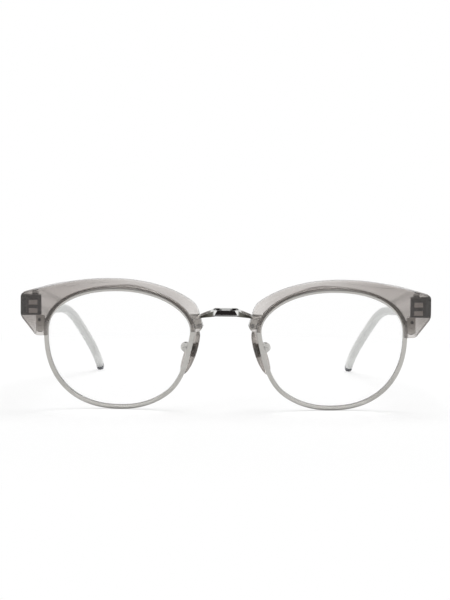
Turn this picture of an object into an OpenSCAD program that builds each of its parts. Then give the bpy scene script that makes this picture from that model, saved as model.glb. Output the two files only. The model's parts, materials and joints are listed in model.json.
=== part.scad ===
// Browline eyeglasses: two moulded brows screwed onto a metal chassis of rims and bridge,
// with clear lenses, rocking nose pads and folding temples.
// Millimetres, +Z up, front towards -Y. Left and right are the wearer's, so the left side is +X.
// The origin is on the table, under the middle of the glasses' width and length.

/* [Lenses] */
// Width of one lens, bevel included
lens_w = 50.2; // [47:0.2:53]
// Height of one lens, bevel included
lens_h = 40.6; // [38:0.2:43]
// Height of the lens above its widest line
lens_rise = 15.35; // [14:0.05:16.5]
// Thickness of the lens
lens_t = 1.8; // [1.5:0.1:2]
// How far the bevel stands out of the lens edge
lens_bevel = 0.4; // [0.3:0.05:0.5]
// Radius of the curve that the lens, rim and brow follow
base_radius = 160; // [130:5:240]
// Squareness of the lower half towards the temple, where 2 is an ellipse
lower_outer_fullness = 2.3; // [2.1:0.01:2.6]
// Squareness of the lower half towards the nose
lower_inner_fullness = 2.15; // [2:0.01:2.4]
// Squareness of the upper half towards the temple
upper_outer_fullness = 2.18; // [2:0.01:2.4]
// Squareness of the upper half towards the nose
upper_inner_fullness = 2; // [1.8:0.01:2.2]
// How far the lens is cut back from its full line beside the nose pad
nose_cut = 1.25; // [0:0.05:1.5]

/* [Front] */
// Distance between the two lenses
lens_gap = 23.2; // [21:0.2:26]
// Angle at which each lens turns back towards its temple
wrap = 4; // [2:0.5:6]
// Angle at which the front leans forward as it stands
lean = 5; // [2:0.5:6]

/* [Rims] */
// Width of the rim, seen from the front
rim_w = 1.6; // [1.5:0.1:2]
// Depth of the rim, front to back
rim_d = 2.6; // [2.4:0.1:3]
// Chamfer on the outer edges of the rim
rim_edge = 0.4; // [0.3:0.05:0.5]
// Rounding on the two inner lips of the rim
rim_lip = 0.22; // [0.1:0.02:0.3]
// Clearance between the lens bevel and its groove
lens_fit = 0.02; // [0.01:0.01:0.05]
// Width of the saw cut where the rim opens to take the lens
rim_split = 0.15; // [0.1:0.01:0.2]

/* [Brows] */
// Height of the brow above the lens opening at its crown
brow_crown = 4.2; // [3.9:0.1:4.9]
// How far the crown lies from the middle of the lens, towards the temple
crown_offset = 2; // [0:0.5:4]
// Reach of the end piece beyond the lens opening
end_reach = 9.7; // [9.2:0.1:10.6]
// How far the end piece's top corner lies below the top of the lens opening
end_drop = 1.55; // [0.8:0.05:2]
// Height of the end piece's outer side
end_side_h = 7.8; // [7.4:0.1:8.6]
// Width of the foot of the end piece
foot_w = 4.4; // [4:0.1:5]
// How far the foot lies below the widest line of the lens
foot_drop = 0.85; // [0.4:0.05:1.5]
// Reach of the nose end of the brow beyond the lens opening
nose_reach = 4; // [3.7:0.1:4.4]
// Thickness of the lip that covers the rim
lip_t = 1.6; // [1.3:0.1:2]
// Width of rim left showing below the lip at the crown
rim_show = 1.4; // [1:0.05:1.5]
// Width of rim left showing beside the ends of the lip
rim_show_end = 0.25; // [0.2:0.05:0.6]
// Thickness of the end piece at its outer side
end_t = 3.9; // [3.7:0.1:4.6]
// Width of the bevel along the top edge
brow_bevel = 1.4; // [0.8:0.1:1.6]
// Small chamfer on the other front edges
brow_edge = 0.3; // [0.2:0.05:0.4]
// Clearance between the rim and the channel it lies in
rim_fit = 0.1; // [0.05:0.01:0.2]

/* [Bridge] */
// Height of the bridge bar at its middle
bridge_h = 2.8; // [2.5:0.1:3.2]
// Height of the bridge bar beside each brow
bridge_end_h = 1.4; // [1.1:0.1:1.6]
// Thickness of the bridge bar, front to back
bridge_t = 2; // [1.8:0.1:2.4]
// How far the bridge bows forward of the rims
bridge_bow = 2.2; // [1.4:0.1:3]
// Height of the bridge's middle above the widest line of the lens
bridge_rise = 8.35; // [7.9:0.05:8.6]
// How far the ends of the bridge lie below its middle
bridge_sag = 1.85; // [1.5:0.05:2.1]
// Depth of the sunk panels on the front of the bridge
panel_depth = 0.2; // [0.1:0.05:0.3]
// Height of the polished border along the panels
panel_border = 0.5; // [0.35:0.05:0.6]

/* [Hinges] */
// Radius of the hinge knuckles
knuckle_r = 1.15; // [1.1:0.05:1.3]
// Height of one of the five knuckles
knuckle_h = 1.4; // [1.3:0.05:1.5]
// Width of the front hinge plate
plate_w = 5.4; // [5:0.1:5.6]
// Thickness of both hinge plates
plate_t = 0.9; // [0.8:0.05:1]
// Length of the temple hinge plate
leaf_len = 9.5; // [8:0.5:12]
// Height of the temple hinge plate
leaf_h = 5.2; // [4.8:0.1:5.6]
// Height of one of the two anchors that hold the front plate
anchor_h = 1.6; // [1.4:0.1:1.8]
// Width of an anchor
anchor_w = 3; // [2.4:0.1:3.4]
// Depth of an anchor
anchor_d = 1.6; // [1.2:0.1:1.7]
// Height of the hinge's middle above the widest line of the lens
hinge_rise = 9.1; // [8.8:0.1:9.4]

/* [Temples] */
// Height of the temple at the hinge
temple_h = 7.3; // [7:0.1:7.8]
// Height of the temple at the bend
temple_waist_h = 3; // [2.8:0.1:4]
// Height of the ear part at its end
temple_tip_h = 3.3; // [3:0.1:4.2]
// Thickness of the temple at the hinge
temple_t = 4; // [3.7:0.1:4.3]
// Thickness of the temple at its end
temple_tip_t = 2.9; // [2.6:0.1:3.6]
// Length of the straight part of the temple
temple_straight = 96; // [80:1:100]
// Angle at which the temple drops from the square of the front
temple_drop = 10; // [8:0.5:12]
// Angle of the bend behind the ear
bend_angle = 38; // [34:1:44]
// Radius of the bend
bend_radius = 22; // [18:1:30]
// How far the end of the temple lies inwards of the hinge
tip_inset = 18; // [15:0.5:20]
// Where along the temple it starts to turn inwards
inset_from = 70; // [60:5:80]
// Length of the dark end block
end_block = 2.4; // [2.1:0.1:4]
// Chamfer along the temple's edges
temple_edge = 0.9; // [0.6:0.1:1.1]
// Height of the core wire
core_h = 1.6; // [1.2:0.1:2]
// Thickness of the core wire
core_t = 1; // [0.8:0.1:1.2]

/* [Nose pads] */
// Length of the nose pad
pad_len = 16.5; // [14:0.5:17]
// Width of the nose pad
pad_w = 7.4; // [6.6:0.2:8]
// Thickness of the nose pad at its middle
pad_t = 2.2; // [2:0.1:2.6]
// Angle between the pad and the upright, seen from the front
pad_frontal = 20; // [16:1:24]
// Angle at which the pad opens towards the back
pad_splay = 23; // [16:1:28]
// Depth of the pad's pivot behind the front
pad_set = 8.6; // [8.2:0.1:9.6]
// Distance of the pad's pivot from the middle of the nose
pad_spread = 13.9; // [13.4:0.1:14.8]
// How far the pivot lies below the widest line of the lens
pad_level = 5.5; // [5:0.1:6.5]
// Radius of the pad arm's wire
arm_r = 0.55; // [0.5:0.05:0.65]

/* [Fasteners] */
// Radius of the hinge screw
hinge_screw_r = 0.7; // [0.6:0.05:0.75]
// Radius of the screws that hold the brows
brow_screw_r = 0.5; // [0.4:0.05:0.55]
// Radius of the screw that closes the rim
rim_screw_r = 0.45; // [0.4:0.05:0.5]
// Radius of the nose pad screw
pad_screw_r = 0.4; // [0.35:0.05:0.45]
// Clearance round a screw that something turns on
pivot_fit = 0.05; // [0.03:0.01:0.08]
// Gap left round the moving half of the hinge
hinge_gap = 0.3; // [0.25:0.05:0.4]

/* [Hidden] */
$fn = 48;

// Overrun that carries a cut clear of the face it opens
cut = 1;
// How far one shape of a piece runs into the next
bond = 0.3;
// Film of solder between the rim's back and what is soldered to it
solder = 0.01;

// Lens opening, measured from the point where its widest line crosses its middle
half_open = lens_w / 2 - lens_bevel;
rise_open = lens_rise - lens_bevel;
drop_open = lens_h - lens_rise - lens_bevel;
eye_step = 6;

// Places of the two eyes, in the frame of the front
eye_x = lens_gap / 2 + lens_w / 2 * cos(wrap);
eye_v = drop_open + rim_w;
rim_mid = rim_d / 2;
groove_half = lens_t / 2 - rim_lip;
bevel_half = groove_half * 0.9;
lens_rings = [0.35, 0.7];

// The lowest edge of the rims stands on the table
rim_low_depth = sag(0, drop_open + rim_w) + rim_edge;
front_z = -rim_low_depth * sin(lean);

// The cut beside the pad, as angles above the widest line: where it starts, is full and ends
nose_cut_top = 12;
nose_cut_full = -16;
nose_cut_low = -52;

// Brow, as points about the middle of the eye: towards the temple, up
brow_back = rim_d - rim_fit;
channel_grow = rim_w + rim_fit;
end_u = half_open + end_reach;
corner_round = 1.3;
foot_round = 0.8;
nose_round = 0.8;
crown = [crown_offset, rise_open + brow_crown];
end_top = [end_u, rise_open - end_drop];
end_low = [end_u, end_top.y - end_side_h];
end_foot = [half_open + foot_w, -foot_drop];
foot_inner = [half_open + rim_show_end, -foot_drop];
end_pull = [-9, 2.4];
crown_pull = [14, 0];
crown_pull_nose = [-12, 0];
shoulder = [-half_open - nose_reach * 0.21, rise_open * 0.74];
shoulder_pull = [5.5, 4.6];
shoulder_pull_nose = [-1.6, -1.7];
nose_tip = [-half_open - nose_reach, rise_open * 0.2];
nose_pull = [0.9, 3];
nose_foot = [-half_open - nose_reach * 0.775, rise_open * 0.1];
top_start = end_top + corner_round * end_pull / norm(end_pull);
bevel_lean = 0.7;
bevel_from = 22;
bevel_full = 62;
bevel_last = 156;
bevel_end = 166;
ramp_len = 7.5;
ramp_start = half_open - ramp_len;
lip_power = 0.6;

brow_outline = concat(
    rounded(foot_inner, end_foot, end_low, foot_round, 2),
    along(end_foot, end_low, foot_round, corner_round, 3),
    rounded(end_foot, end_low, end_top, corner_round, 2),
    along(end_low, end_top, corner_round, corner_round, 3),
    rounded(end_low, end_top, top_start, corner_round, 3),
    rest(curve(top_start, end_top + end_pull, crown + crown_pull, crown, 10)),
    rest(curve(crown, crown + crown_pull_nose, shoulder + shoulder_pull, shoulder, 9)),
    rest(curve(shoulder, shoulder + shoulder_pull_nose, nose_tip + nose_pull, nose_tip, 5)),
    rounded(nose_tip, nose_foot, nose_foot * 0.9, nose_round, 2)
);

// Seat for the hinge, square to the front, behind the end piece
end_x = eye_x + end_u * cos(wrap);
end_level = (end_top.y + end_low.y) / 2;
end_front_depth = (sag(end_u, end_level) - lip_t) * cos(wrap) + end_u * sin(wrap);
seat_d = end_front_depth + end_t;
seat_gap = 0.15;
flush_inset = 0.1;

// Hinge axis
temple_inner_x = end_x - flush_inset - temple_t;
axis_x = temple_inner_x - knuckle_r - hinge_gap;
axis_d = seat_d + knuckle_r + hinge_gap;
hinge_v = eye_v + hinge_rise;
knuckles = 5;
knuckle_gap = 0.06;
hinge_h = knuckles * knuckle_h;
plate_x = axis_x + plate_w * 0.12;
anchor_x = plate_x + plate_w * 0.04;
anchor_pitch = anchor_h * 1.8;
anchor_sink = anchor_h * 0.22;
leaf_start = 0.5;
tang_len = 1.5;
hinge_head_r = 1.1;
hinge_head_h = 0.5;
slot_w = 0.3;
slot_d = 0.2;

// Rim lock: the split block soldered to the outside of the rim
lock_w = 2.5;
lock_t = 2;
lock_top = 6;
lock_bottom = 0.4;
lock_split = 2.2;
lock_fit = 0.15;
lock_u = half_open + rim_w;
lock_front = sag(lock_u + lock_w / 2, lock_split) + 0.3;
lock_back = lock_front + lock_t;
rim_screw_u = lock_u + lock_w * 0.5;
rim_screw_len = 2.9;
rim_head_r = 0.75;
rim_head_h = 0.35;
outer_screw_u = lock_u + lock_w * 0.55;
outer_screw_w = 4.4;
brow_head_r = 0.9;
brow_head_h = 0.4;
outer_bite = 1.1;
inner_bite = 2;

// Brow tab: the plate soldered behind the rim, beside the nose
tab_mid = [-half_open - rim_w * 0.75, 3.7];
tab_w = 3.6;
tab_h = 3.6;
tab_t = 1;
inner_screw_w = 3;
inner_screw_u = -half_open - rim_w - brow_screw_r * 1.4;

// Bridge
bridge_mid_v = eye_v + bridge_rise;
bridge_reach = eye_x - half_open + rim_w;
bridge_neck = eye_x - half_open - nose_reach * 0.8;
bridge_end_d = 0.6;
bridge_flat = 3.7;
bridge_edge = 0.35;
notch_fit = 0.15;
panel_low = 3.8;
panel_high = 3;
panel_side = [4.5, 7.6];

// Nose pad
pad_back = 1.7;
pad_low = 1.4;
pad_step = 15;
pad_point_share = 0.12;
pad_layers = [[0.88, 0], [0.98, 0.15], [1, 0.35], [0.94, 0.6], [0.78, 0.82], [0.45, 0.96]];
post_t = 0.7;
post_h = 1.5;
insert_t = 0.5;
insert_depth = 1.35;
insert_low = 0.2;
insert_h = 4.4;
insert_w = 3;
cheek_t = 0.5;
cheek_gap = 0.08;
cheek_reach = 0.8;
box_h = 3.6;
box_front = 0.95;
box_t = 0.6;
box_out = post_t / 2 + cheek_gap + cheek_t;
pad_head_r = 0.75;
pad_head_h = 0.3;
arm_angle = 188;
arm_foot = [1.3, 0.8, 2.4];
arm_pull_rim = [1, 1.6, 0];
arm_pull_box = [0.6, -1.8, 0];
arm_sides = 8;

// Temple
temple_x = temple_inner_x + temple_t / 2;
arc_len = bend_radius * bend_angle * PI / 180;
tip_half = temple_tip_h / 2;
end_round = 0.9;
world_drop = temple_drop - lean;
world_ear = world_drop + bend_angle;
temple_start_d = seat_d + seat_gap;
temple_start_z = temple_start_d * sin(lean) + hinge_v * cos(lean) + front_z;
arc_end_z = temple_start_z - temple_straight * sin(world_drop)
    - bend_radius * (cos(world_drop) - cos(world_ear));
tip_z = end_round + (tip_half - end_round) * cos(world_ear) - end_round * sin(world_ear);
ear_len = (arc_end_z - tip_z) / sin(world_ear);
temple_len = temple_straight + arc_len + ear_len;
core_start = leaf_start + leaf_len;
core_margin = 9;
core_fit = 0.02;
inset_span = 77;
waist_power = 1.15;
straight_steps = 8;
arc_steps = 6;
ear_steps = 4;
round_steps = 4;

// The whole length, from the front of the bridge to the end of the temples
front_most = -bridge_bow * cos(lean) - (bridge_mid_v + bridge_h / 2) * sin(lean);
rear_most = temple_start_d * cos(lean) - hinge_v * sin(lean) + temple_straight * cos(world_drop)
    + bend_radius * (sin(world_ear) - sin(world_drop)) + (ear_len - end_round) * cos(world_ear)
    + (tip_half - end_round) * sin(world_ear) + end_round;
front_y = -(front_most + rear_most) / 2;

// Depth of the curved face at a point of the eye
function sag(u, w) = (u * u + w * w) / (2 * base_radius);

// 0 below 0, 1 above 1, and a smooth step between
function ease(x) = let(k = min(1, max(0, x))) k * k * (3 - 2 * k);
function mix(a, b, k) = a + (b - a) * k;

// Distance of the eye's outline from its middle in a direction, moved outwards by grow
function eye_radius(angle, grow) = let(
        c = abs(cos(angle)) / (half_open + grow),
        s = abs(sin(angle)) / ((sin(angle) < 0 ? drop_open : rise_open) + grow),
        k = sin(angle) < 0 ? (cos(angle) < 0 ? lower_inner_fullness : lower_outer_fullness)
            : cos(angle) < 0 ? upper_inner_fullness : upper_outer_fullness,
        above = atan2(sin(angle), -cos(angle))
    ) pow(pow(c, k) + pow(s, k), -1 / k) - nose_cut
        * ease((nose_cut_top - above) / (nose_cut_top - nose_cut_full))
        * (1 - ease((nose_cut_full - above) / (nose_cut_full - nose_cut_low)));

// A point of the eye at a radius and depth behind the curved face: across, depth, up
function eye_at(angle, radius, depth) = let(
        u = radius * cos(angle), w = radius * sin(angle)
    ) [u, sag(u, w) + depth, w];

// The same point in the frame of the front
function front_of(p) = [eye_x + p.x * cos(wrap) - p.y * sin(wrap), p.x * sin(wrap) + p.y * cos(wrap), eye_v + p.z];

function rest(list) = [for (i = [1:len(list) - 1]) list[i]];

// Points along a cubic curve
function curve(a, b, c, d, n) = [for (i = [0:n]) let(t = i / n, s = 1 - t)
    s * s * s * a + 3 * s * s * t * b + 3 * s * t * t * c + t * t * t * d];

// A rounded corner at p, between the points before and after it
function rounded(before, p, after, r, n) = let(
        a = p + (before - p) * r / norm(before - p),
        b = p + (after - p) * r / norm(after - p)
    ) [for (i = [0:n]) let(t = i / n, s = 1 - t) s * s * a + 2 * s * t * p + t * t * b];

// Points inside a straight side, clear of the rounded corners at its ends
function along(a, b, from, to, n) = let(
        side = norm(b - a), way = (b - a) / side
    ) [for (i = [1:n]) a + way * (from + (side - from - to) * i / (n + 1))];

// Faces of a tube of rings, each ring a closed loop of as many points
function ring_faces(n, m, looped) = [
    for (i = [0:looped ? n - 1 : n - 2]) for (j = [0:m - 1]) let(
        k = (i + 1) % n, l = (j + 1) % m
    ) each [[i * m + j, i * m + l, k * m + l], [i * m + j, k * m + l, k * m + j]]];

module skin(rings, looped = false) {
    n = len(rings);
    m = len(rings[0]);
    caps = looped ? [] : [[for (j = [0:m - 1]) m - 1 - j], [for (j = [0:m - 1]) (n - 1) * m + j]];
    polyhedron([for (r = rings) each r], concat(ring_faces(n, m, looped), caps), convexity = 10);
}

// Frame of the leaning front: across, depth, up from the rims' feet
module in_front() translate([0, front_y, front_z]) rotate([lean, 0, 0]) children();

// Frame of the left eye: towards the temple, depth, up from the widest line
module at_eye() translate([eye_x, 0, eye_v]) rotate([0, 0, wrap]) children();

// Frame on the back of the rim, tangent to it at a point
module on_back(p) translate([p.x, sag(p.x, p.y) + rim_d + solder, p.y])
    rotate([0, 0, atan(p.x / base_radius)]) rotate([-atan(p.y / base_radius), 0, 0]) children();

// Frame of the nose pad: away from the nose, along the pad's width, along its length
module at_pad() translate([pad_spread, pad_set, eye_v - pad_level])
    rotate([0, -pad_frontal, 0]) rotate([0, 0, -pad_splay]) children();

// Frame of the temple: outwards, along it, up
module at_temple() translate([temple_x, temple_start_d, hinge_v]) rotate([-temple_drop, 0, 0]) children();

module mirrored() mirror([1, 0, 0]) children();

// A block between two opposite corners
module block(a, b) translate(a) cube(b - a);

// Round bar along a depth, from one depth to another
module along_depth(r, from, to) translate([0, to, 0]) rotate([90, 0, 0]) cylinder(h = to - from, r = r);

// A screw whose head stands on z = 0 and whose shaft goes down
module screw(shaft_r, shaft_len, head_r, head_h) {
    difference() {
        union() {
            translate([0, 0, -shaft_len]) cylinder(h = shaft_len, r = shaft_r);
            cylinder(h = head_h, r = head_r);
        }
        block([-head_r - cut, -slot_w / 2, head_h - slot_d], [head_r + cut, slot_w / 2, head_h + cut]);
    }
}

// ---- rims and lenses
module rim() {
    profile = [
        [lens_bevel + lens_fit, rim_mid], [0, rim_mid + groove_half], [0, rim_d - rim_lip], [rim_lip, rim_d],
        [rim_w - rim_edge, rim_d], [rim_w, rim_d - rim_edge], [rim_w, rim_edge],
        [rim_w - rim_edge, 0], [rim_lip, 0], [0, rim_lip], [0, rim_mid - groove_half]
    ];
    color("silver") in_front() at_eye() difference() {
        skin([for (a = [0:eye_step:360 - eye_step]) [for (p = profile) eye_at(a, eye_radius(a, p.x), p.y)]],
            looped = true);
        block([half_open - cut, -cut, lock_split - rim_split / 2],
            [lock_u + cut, lock_back + cut, lock_split + rim_split / 2]);
    }
}

module lens() {
    edge = [[-lens_fit, -lens_t / 2], [-lens_fit, -bevel_half], [lens_bevel, 0],
        [-lens_fit, bevel_half], [-lens_fit, lens_t / 2]];
    angles = [for (a = [0:eye_step:360 - eye_step]) a];
    rings = concat(
        [for (k = lens_rings) [for (a = angles) eye_at(a, k * eye_radius(a, -lens_fit), rim_mid - lens_t / 2)]],
        [for (p = edge) [for (a = angles) eye_at(a, eye_radius(a, p.x), rim_mid + p.y)]],
        [for (i = [len(lens_rings) - 1:-1:0]) [for (a = angles)
            eye_at(a, lens_rings[i] * eye_radius(a, -lens_fit), rim_mid + lens_t / 2)]]
    );
    n = len(rings);
    m = len(angles);
    first = n * m;
    color("white", 0.3) in_front() at_eye() polyhedron(
        concat([for (r = rings) each r], [[0, rim_mid - lens_t / 2, 0], [0, rim_mid + lens_t / 2, 0]]),
        concat(
            ring_faces(n, m, false),
            [for (j = [0:m - 1]) [first, (j + 1) % m, j]],
            [for (j = [0:m - 1]) [first + 1, (n - 1) * m + j, (n - 1) * m + (j + 1) % m]]
        ), convexity = 4);
}

// ---- rim lock
module lock_half(from, to, bore) {
    color("silver") in_front() at_eye() difference() {
        block([lock_u - rim_edge, lock_front, from], [lock_u + lock_w, lock_back, to]);
        translate([0, lock_back + cut, 0]) rotate([90, 0, 0]) linear_extrude(lock_t + 2 * cut)
            polygon([for (a = [0:eye_step:360 - eye_step]) eye_radius(a, rim_w) * [cos(a), sin(a)]]);
        translate([rim_screw_u, lock_front + lock_t / 2, from - cut])
            cylinder(h = bore - from + cut, r = rim_screw_r + (from == lock_bottom ? pivot_fit : 0));
        translate([outer_screw_u, 0, outer_screw_w])
            along_depth(brow_screw_r + pivot_fit, lock_front - cut, lock_back + cut);
    }
}

module rim_lock_upper() lock_half(lock_split + rim_split / 2, lock_top, lock_bottom + rim_screw_len);
module rim_lock_lower() lock_half(lock_bottom, lock_split - rim_split / 2, lock_split);

module rim_screw() {
    color("dimgray") in_front() at_eye() translate([rim_screw_u, lock_front + lock_t / 2, lock_bottom])
        rotate([180, 0, 0]) screw(rim_screw_r, rim_screw_len, rim_head_r, rim_head_h);
}

// ---- brows
function brow_bevel_at(angle) = mix(brow_edge, brow_bevel,
    ease((angle - bevel_from) / (bevel_full - bevel_from)) * (1 - ease((angle - bevel_last) / (bevel_end - bevel_last))));

// Depth of the brow's back: along the rim, then level with the hinge's seat
function brow_back_at(u, w) = mix(sag(u, w) + brow_back, (seat_d - u * sin(wrap)) / cos(wrap),
    ease((u - ramp_start) / ramp_len));

// How far beyond the lens opening the lip ends
function lip_grow(angle) = mix(rim_show_end, rim_show, pow(max(0, sin(angle)), lip_power));

function brow_point(angle, radius, depth) = eye_at(angle, radius, depth);
function brow_back_point(angle, radius, depth) = let(u = radius * cos(angle), w = radius * sin(angle))
    [u, brow_back_at(u, w) + depth, w];

function brow_section(p) = let(
        a = atan2(p.y, p.x), outer = norm(p), bevel = brow_bevel_at(a),
        lip = eye_radius(a, lip_grow(a)), channel = eye_radius(a, channel_grow)
    ) [
        brow_point(a, lip, -rim_fit),
        brow_point(a, channel, -rim_fit),
        brow_back_point(a, channel, 0),
        brow_back_point(a, outer - brow_edge, 0),
        brow_back_point(a, outer, -brow_edge),
        brow_point(a, outer, -lip_t + bevel * bevel_lean),
        brow_point(a, outer - bevel, -lip_t),
        brow_point(a, lip + brow_edge, -lip_t),
        brow_point(a, lip, -lip_t + brow_edge)
    ];

module brow() {
    bridge_end_v = bridge_mid_v - bridge_sag;
    notch = bridge_end_h / 2 + notch_fit;
    color("darkgray") in_front() difference() {
        at_eye() difference() {
            skin([for (p = brow_outline) brow_section(p)]);
            block([lock_u - rim_edge, lock_front - lock_fit, end_foot.y - cut],
                [lock_u + lock_w + lock_fit, lock_back + seat_d, lock_top + lock_fit]);
            translate([outer_screw_u, 0, outer_screw_w])
                along_depth(brow_screw_r, lock_front - lock_fit - outer_bite, lock_back);
            on_back(tab_mid) translate([inner_screw_u - tab_mid.x, 0, inner_screw_w - tab_mid.y])
                along_depth(brow_screw_r, -inner_bite, tab_t);
        }
        block([bridge_neck - cut, bridge_end_d - notch_fit, bridge_end_v - notch],
            [bridge_reach, seat_d, bridge_end_v + notch]);
        hinge_plate();
    }
}

module brow_screw_outer() {
    color("dimgray") in_front() at_eye() translate([outer_screw_u, lock_back, outer_screw_w])
        rotate([-90, 0, 0]) screw(brow_screw_r, lock_t + lock_fit + outer_bite, brow_head_r, brow_head_h);
}

module brow_tab() {
    color("silver") in_front() at_eye() on_back(tab_mid) difference() {
        block([-tab_w / 2, 0, -tab_h / 2], [tab_w / 2, tab_t, tab_h / 2]);
        translate([inner_screw_u - tab_mid.x, 0, inner_screw_w - tab_mid.y])
            along_depth(brow_screw_r + pivot_fit, -cut, tab_t + cut);
    }
}

module brow_screw_inner() {
    color("dimgray") in_front() at_eye() on_back(tab_mid)
        translate([inner_screw_u - tab_mid.x, tab_t, inner_screw_w - tab_mid.y])
            rotate([-90, 0, 0]) screw(brow_screw_r, tab_t + inner_bite, brow_head_r, brow_head_h);
}

// ---- bridge
// 0 along the flat middle of the bridge, 1 where it enters the brow
function bridge_slope(x) = min(1, max(0, (abs(x) - bridge_flat) / (bridge_neck - bridge_flat)));
function bridge_v(x) = bridge_mid_v - bridge_sag * bridge_slope(x);
function bridge_d(x) = mix(-bridge_bow, bridge_end_d, ease(bridge_slope(x)));
function bridge_half(x) = mix(bridge_h, bridge_end_h, bridge_slope(x)) / 2;

// The eight-sided bar between places across
module bar(places) {
    e = bridge_edge;
    skin([for (x = places) let(h = bridge_half(x), v = bridge_v(x), d = bridge_d(x)) [
        [x, d, v - h + e], [x, d, v + h - e], [x, d + e, v + h], [x, d + bridge_t - e, v + h],
        [x, d + bridge_t, v + h - e], [x, d + bridge_t, v - h + e], [x, d + bridge_t - e, v - h], [x, d + e, v - h]
    ]]);
}

// The cut for a sunk panel that runs out at the bottom of the bar
module side_panel(places) {
    skin([for (x = places) let(h = bridge_half(x), v = bridge_v(x), d = bridge_d(x)) [
        [x, d - cut, v - h - cut], [x, d - cut, v + h - panel_border],
        [x, d + panel_depth, v + h - panel_border], [x, d + panel_depth, v - h - cut]
    ]]);
}

module bridge() {
    steps = [for (k = [0:8]) bridge_flat + (bridge_neck - bridge_flat) * k / 8];
    ends = [bridge_reach];
    half = concat(steps, ends);
    n = len(half);
    places = concat([for (i = [n - 1:-1:0]) -half[i]], half);
    side = [for (k = [0:4]) mix(panel_side[0], panel_side[1], k / 4)];
    low = bridge_mid_v - bridge_h / 2 + panel_border;
    high = bridge_mid_v + bridge_h / 2 - panel_border;
    color("gray") in_front() difference() {
        bar(places);
        translate([0, panel_depth - bridge_bow, 0]) rotate([90, 0, 0]) linear_extrude(panel_depth + cut)
            polygon([[-panel_low, low], [panel_low, low], [panel_high, high], [-panel_high, high]]);
        for (s = [0, 1]) mirror([s, 0, 0]) {
            side_panel(side);
            at_eye() translate([0, seat_d, 0]) rotate([90, 0, 0]) linear_extrude(2 * seat_d)
                polygon([for (a = [0:eye_step:360 - eye_step]) eye_radius(a, rim_w) * [cos(a), sin(a)]]);
        }
    }
}

// ---- nose pads
function pad_ring(share, depth) = [for (a = [0:pad_step:360 - pad_step]) [
    -pad_back - pad_t * depth,
    share * pad_w / 2 * cos(a) * (1 - pad_point_share * sin(a)),
    share * pad_len / 2 * sin(a) - pad_low
]];

module insert_shape() {
    block([-pad_back - insert_depth - insert_t, -insert_w / 2, -insert_h / 2 - insert_low],
        [-pad_back - insert_depth, insert_w / 2, insert_h / 2 - insert_low]);
    block([-pad_back - insert_depth - bond, -post_t / 2, -post_h / 2], [post_h / 2, post_t / 2, post_h / 2]);
}

module nose_pad() {
    color("gainsboro") in_front() at_pad() difference() {
        skin([for (l = pad_layers) pad_ring(l[0], l[1])]);
        insert_shape();
    }
}

module pad_insert() {
    color("silver") in_front() at_pad() difference() {
        insert_shape();
        along_depth(pad_screw_r + pivot_fit, -post_t, post_t);
    }
}

// A round box with a wall at the back and a cheek on each side of the pad's post
module pad_box() {
    difference() {
        translate([box_front + box_t - box_h / 2, 0, 0]) along_depth(box_h / 2, -box_out, box_out);
        block([-box_h, -box_out + cheek_t, -box_h], [box_front, box_out - cheek_t, box_h]);
        block([-box_h, -box_out - cut, -box_h], [-cheek_reach, box_out + cut, box_h]);
        along_depth(pad_screw_r, -box_out - cut, box_out + cut);
    }
}

module pad_screw() {
    color("dimgray") in_front() at_pad() translate([0, box_out, 0])
        rotate([-90, 0, 0]) screw(pad_screw_r, 2 * box_out, pad_head_r, pad_head_h);
}

// Round wire along a path of points
module wire(path, r) {
    n = len(path);
    skin([for (i = [0:n - 1]) let(
            way = path[min(i + 1, n - 1)] - path[max(i - 1, 0)],
            side = cross(way, [0, 0, 1]) / norm(cross(way, [0, 0, 1])),
            up = cross(side, way) / norm(way)
        ) [for (j = [0:arm_sides - 1]) let(a = 360 * j / arm_sides)
            path[i] + r * (cos(a) * side + sin(a) * up)]]);
}

function pad_to_front(p) = let(
        x = p.x * cos(pad_splay) + p.y * sin(pad_splay), y = -p.x * sin(pad_splay) + p.y * cos(pad_splay)
    ) [pad_spread + x * cos(pad_frontal) - p.z * sin(pad_frontal), pad_set + y,
        eye_v - pad_level + x * sin(pad_frontal) + p.z * cos(pad_frontal)];

module pad_arm() {
    foot = eye_radius(arm_angle, rim_w * 0.45) * [cos(arm_angle), sin(arm_angle)];
    start = front_of([foot.x, sag(foot.x, foot.y) + rim_d + arm_foot.y / 2, foot.y]);
    end = pad_to_front([box_front + box_t / 2, 0, 0]);
    color("silver") in_front() {
        at_eye() on_back(foot)
            block([-arm_foot.x / 2, 0, -arm_foot.z / 2], [arm_foot.x / 2, arm_foot.y, arm_foot.z / 2]);
        wire(curve(start, start + arm_pull_rim, end + arm_pull_box, end, 12), arm_r);
        at_pad() pad_box();
    }
}

// ---- hinges
module knuckle(i) translate([axis_x, axis_d, hinge_v + (i - knuckles / 2) * knuckle_h + knuckle_gap / 2])
    cylinder(h = knuckle_h - knuckle_gap, r = knuckle_r);

module hinge_plate() {
    block([plate_x - plate_w / 2, seat_d - plate_t, hinge_v - hinge_h / 2],
        [plate_x + plate_w / 2, seat_d, hinge_v + hinge_h / 2]);
    for (s = [-1, 1]) translate([0, 0, s * anchor_pitch / 2 - anchor_sink])
        block([anchor_x - anchor_w / 2, seat_d - plate_t - anchor_d, hinge_v - anchor_h / 2],
            [anchor_x + anchor_w / 2, seat_d - plate_t / 2, hinge_v + anchor_h / 2]);
}

module front_hinge() {
    color("dimgray") in_front() difference() {
        union() {
            hinge_plate();
            for (i = [0:2:knuckles - 1]) {
                knuckle(i);
                translate([0, 0, hinge_v + (i - knuckles / 2) * knuckle_h])
                    block([axis_x - knuckle_r, seat_d - bond, knuckle_gap / 2],
                        [axis_x + knuckle_r, axis_d, knuckle_h - knuckle_gap / 2]);
            }
        }
        translate([axis_x, axis_d, hinge_v - hinge_h]) cylinder(h = 2 * hinge_h, r = hinge_screw_r);
    }
}

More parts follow.
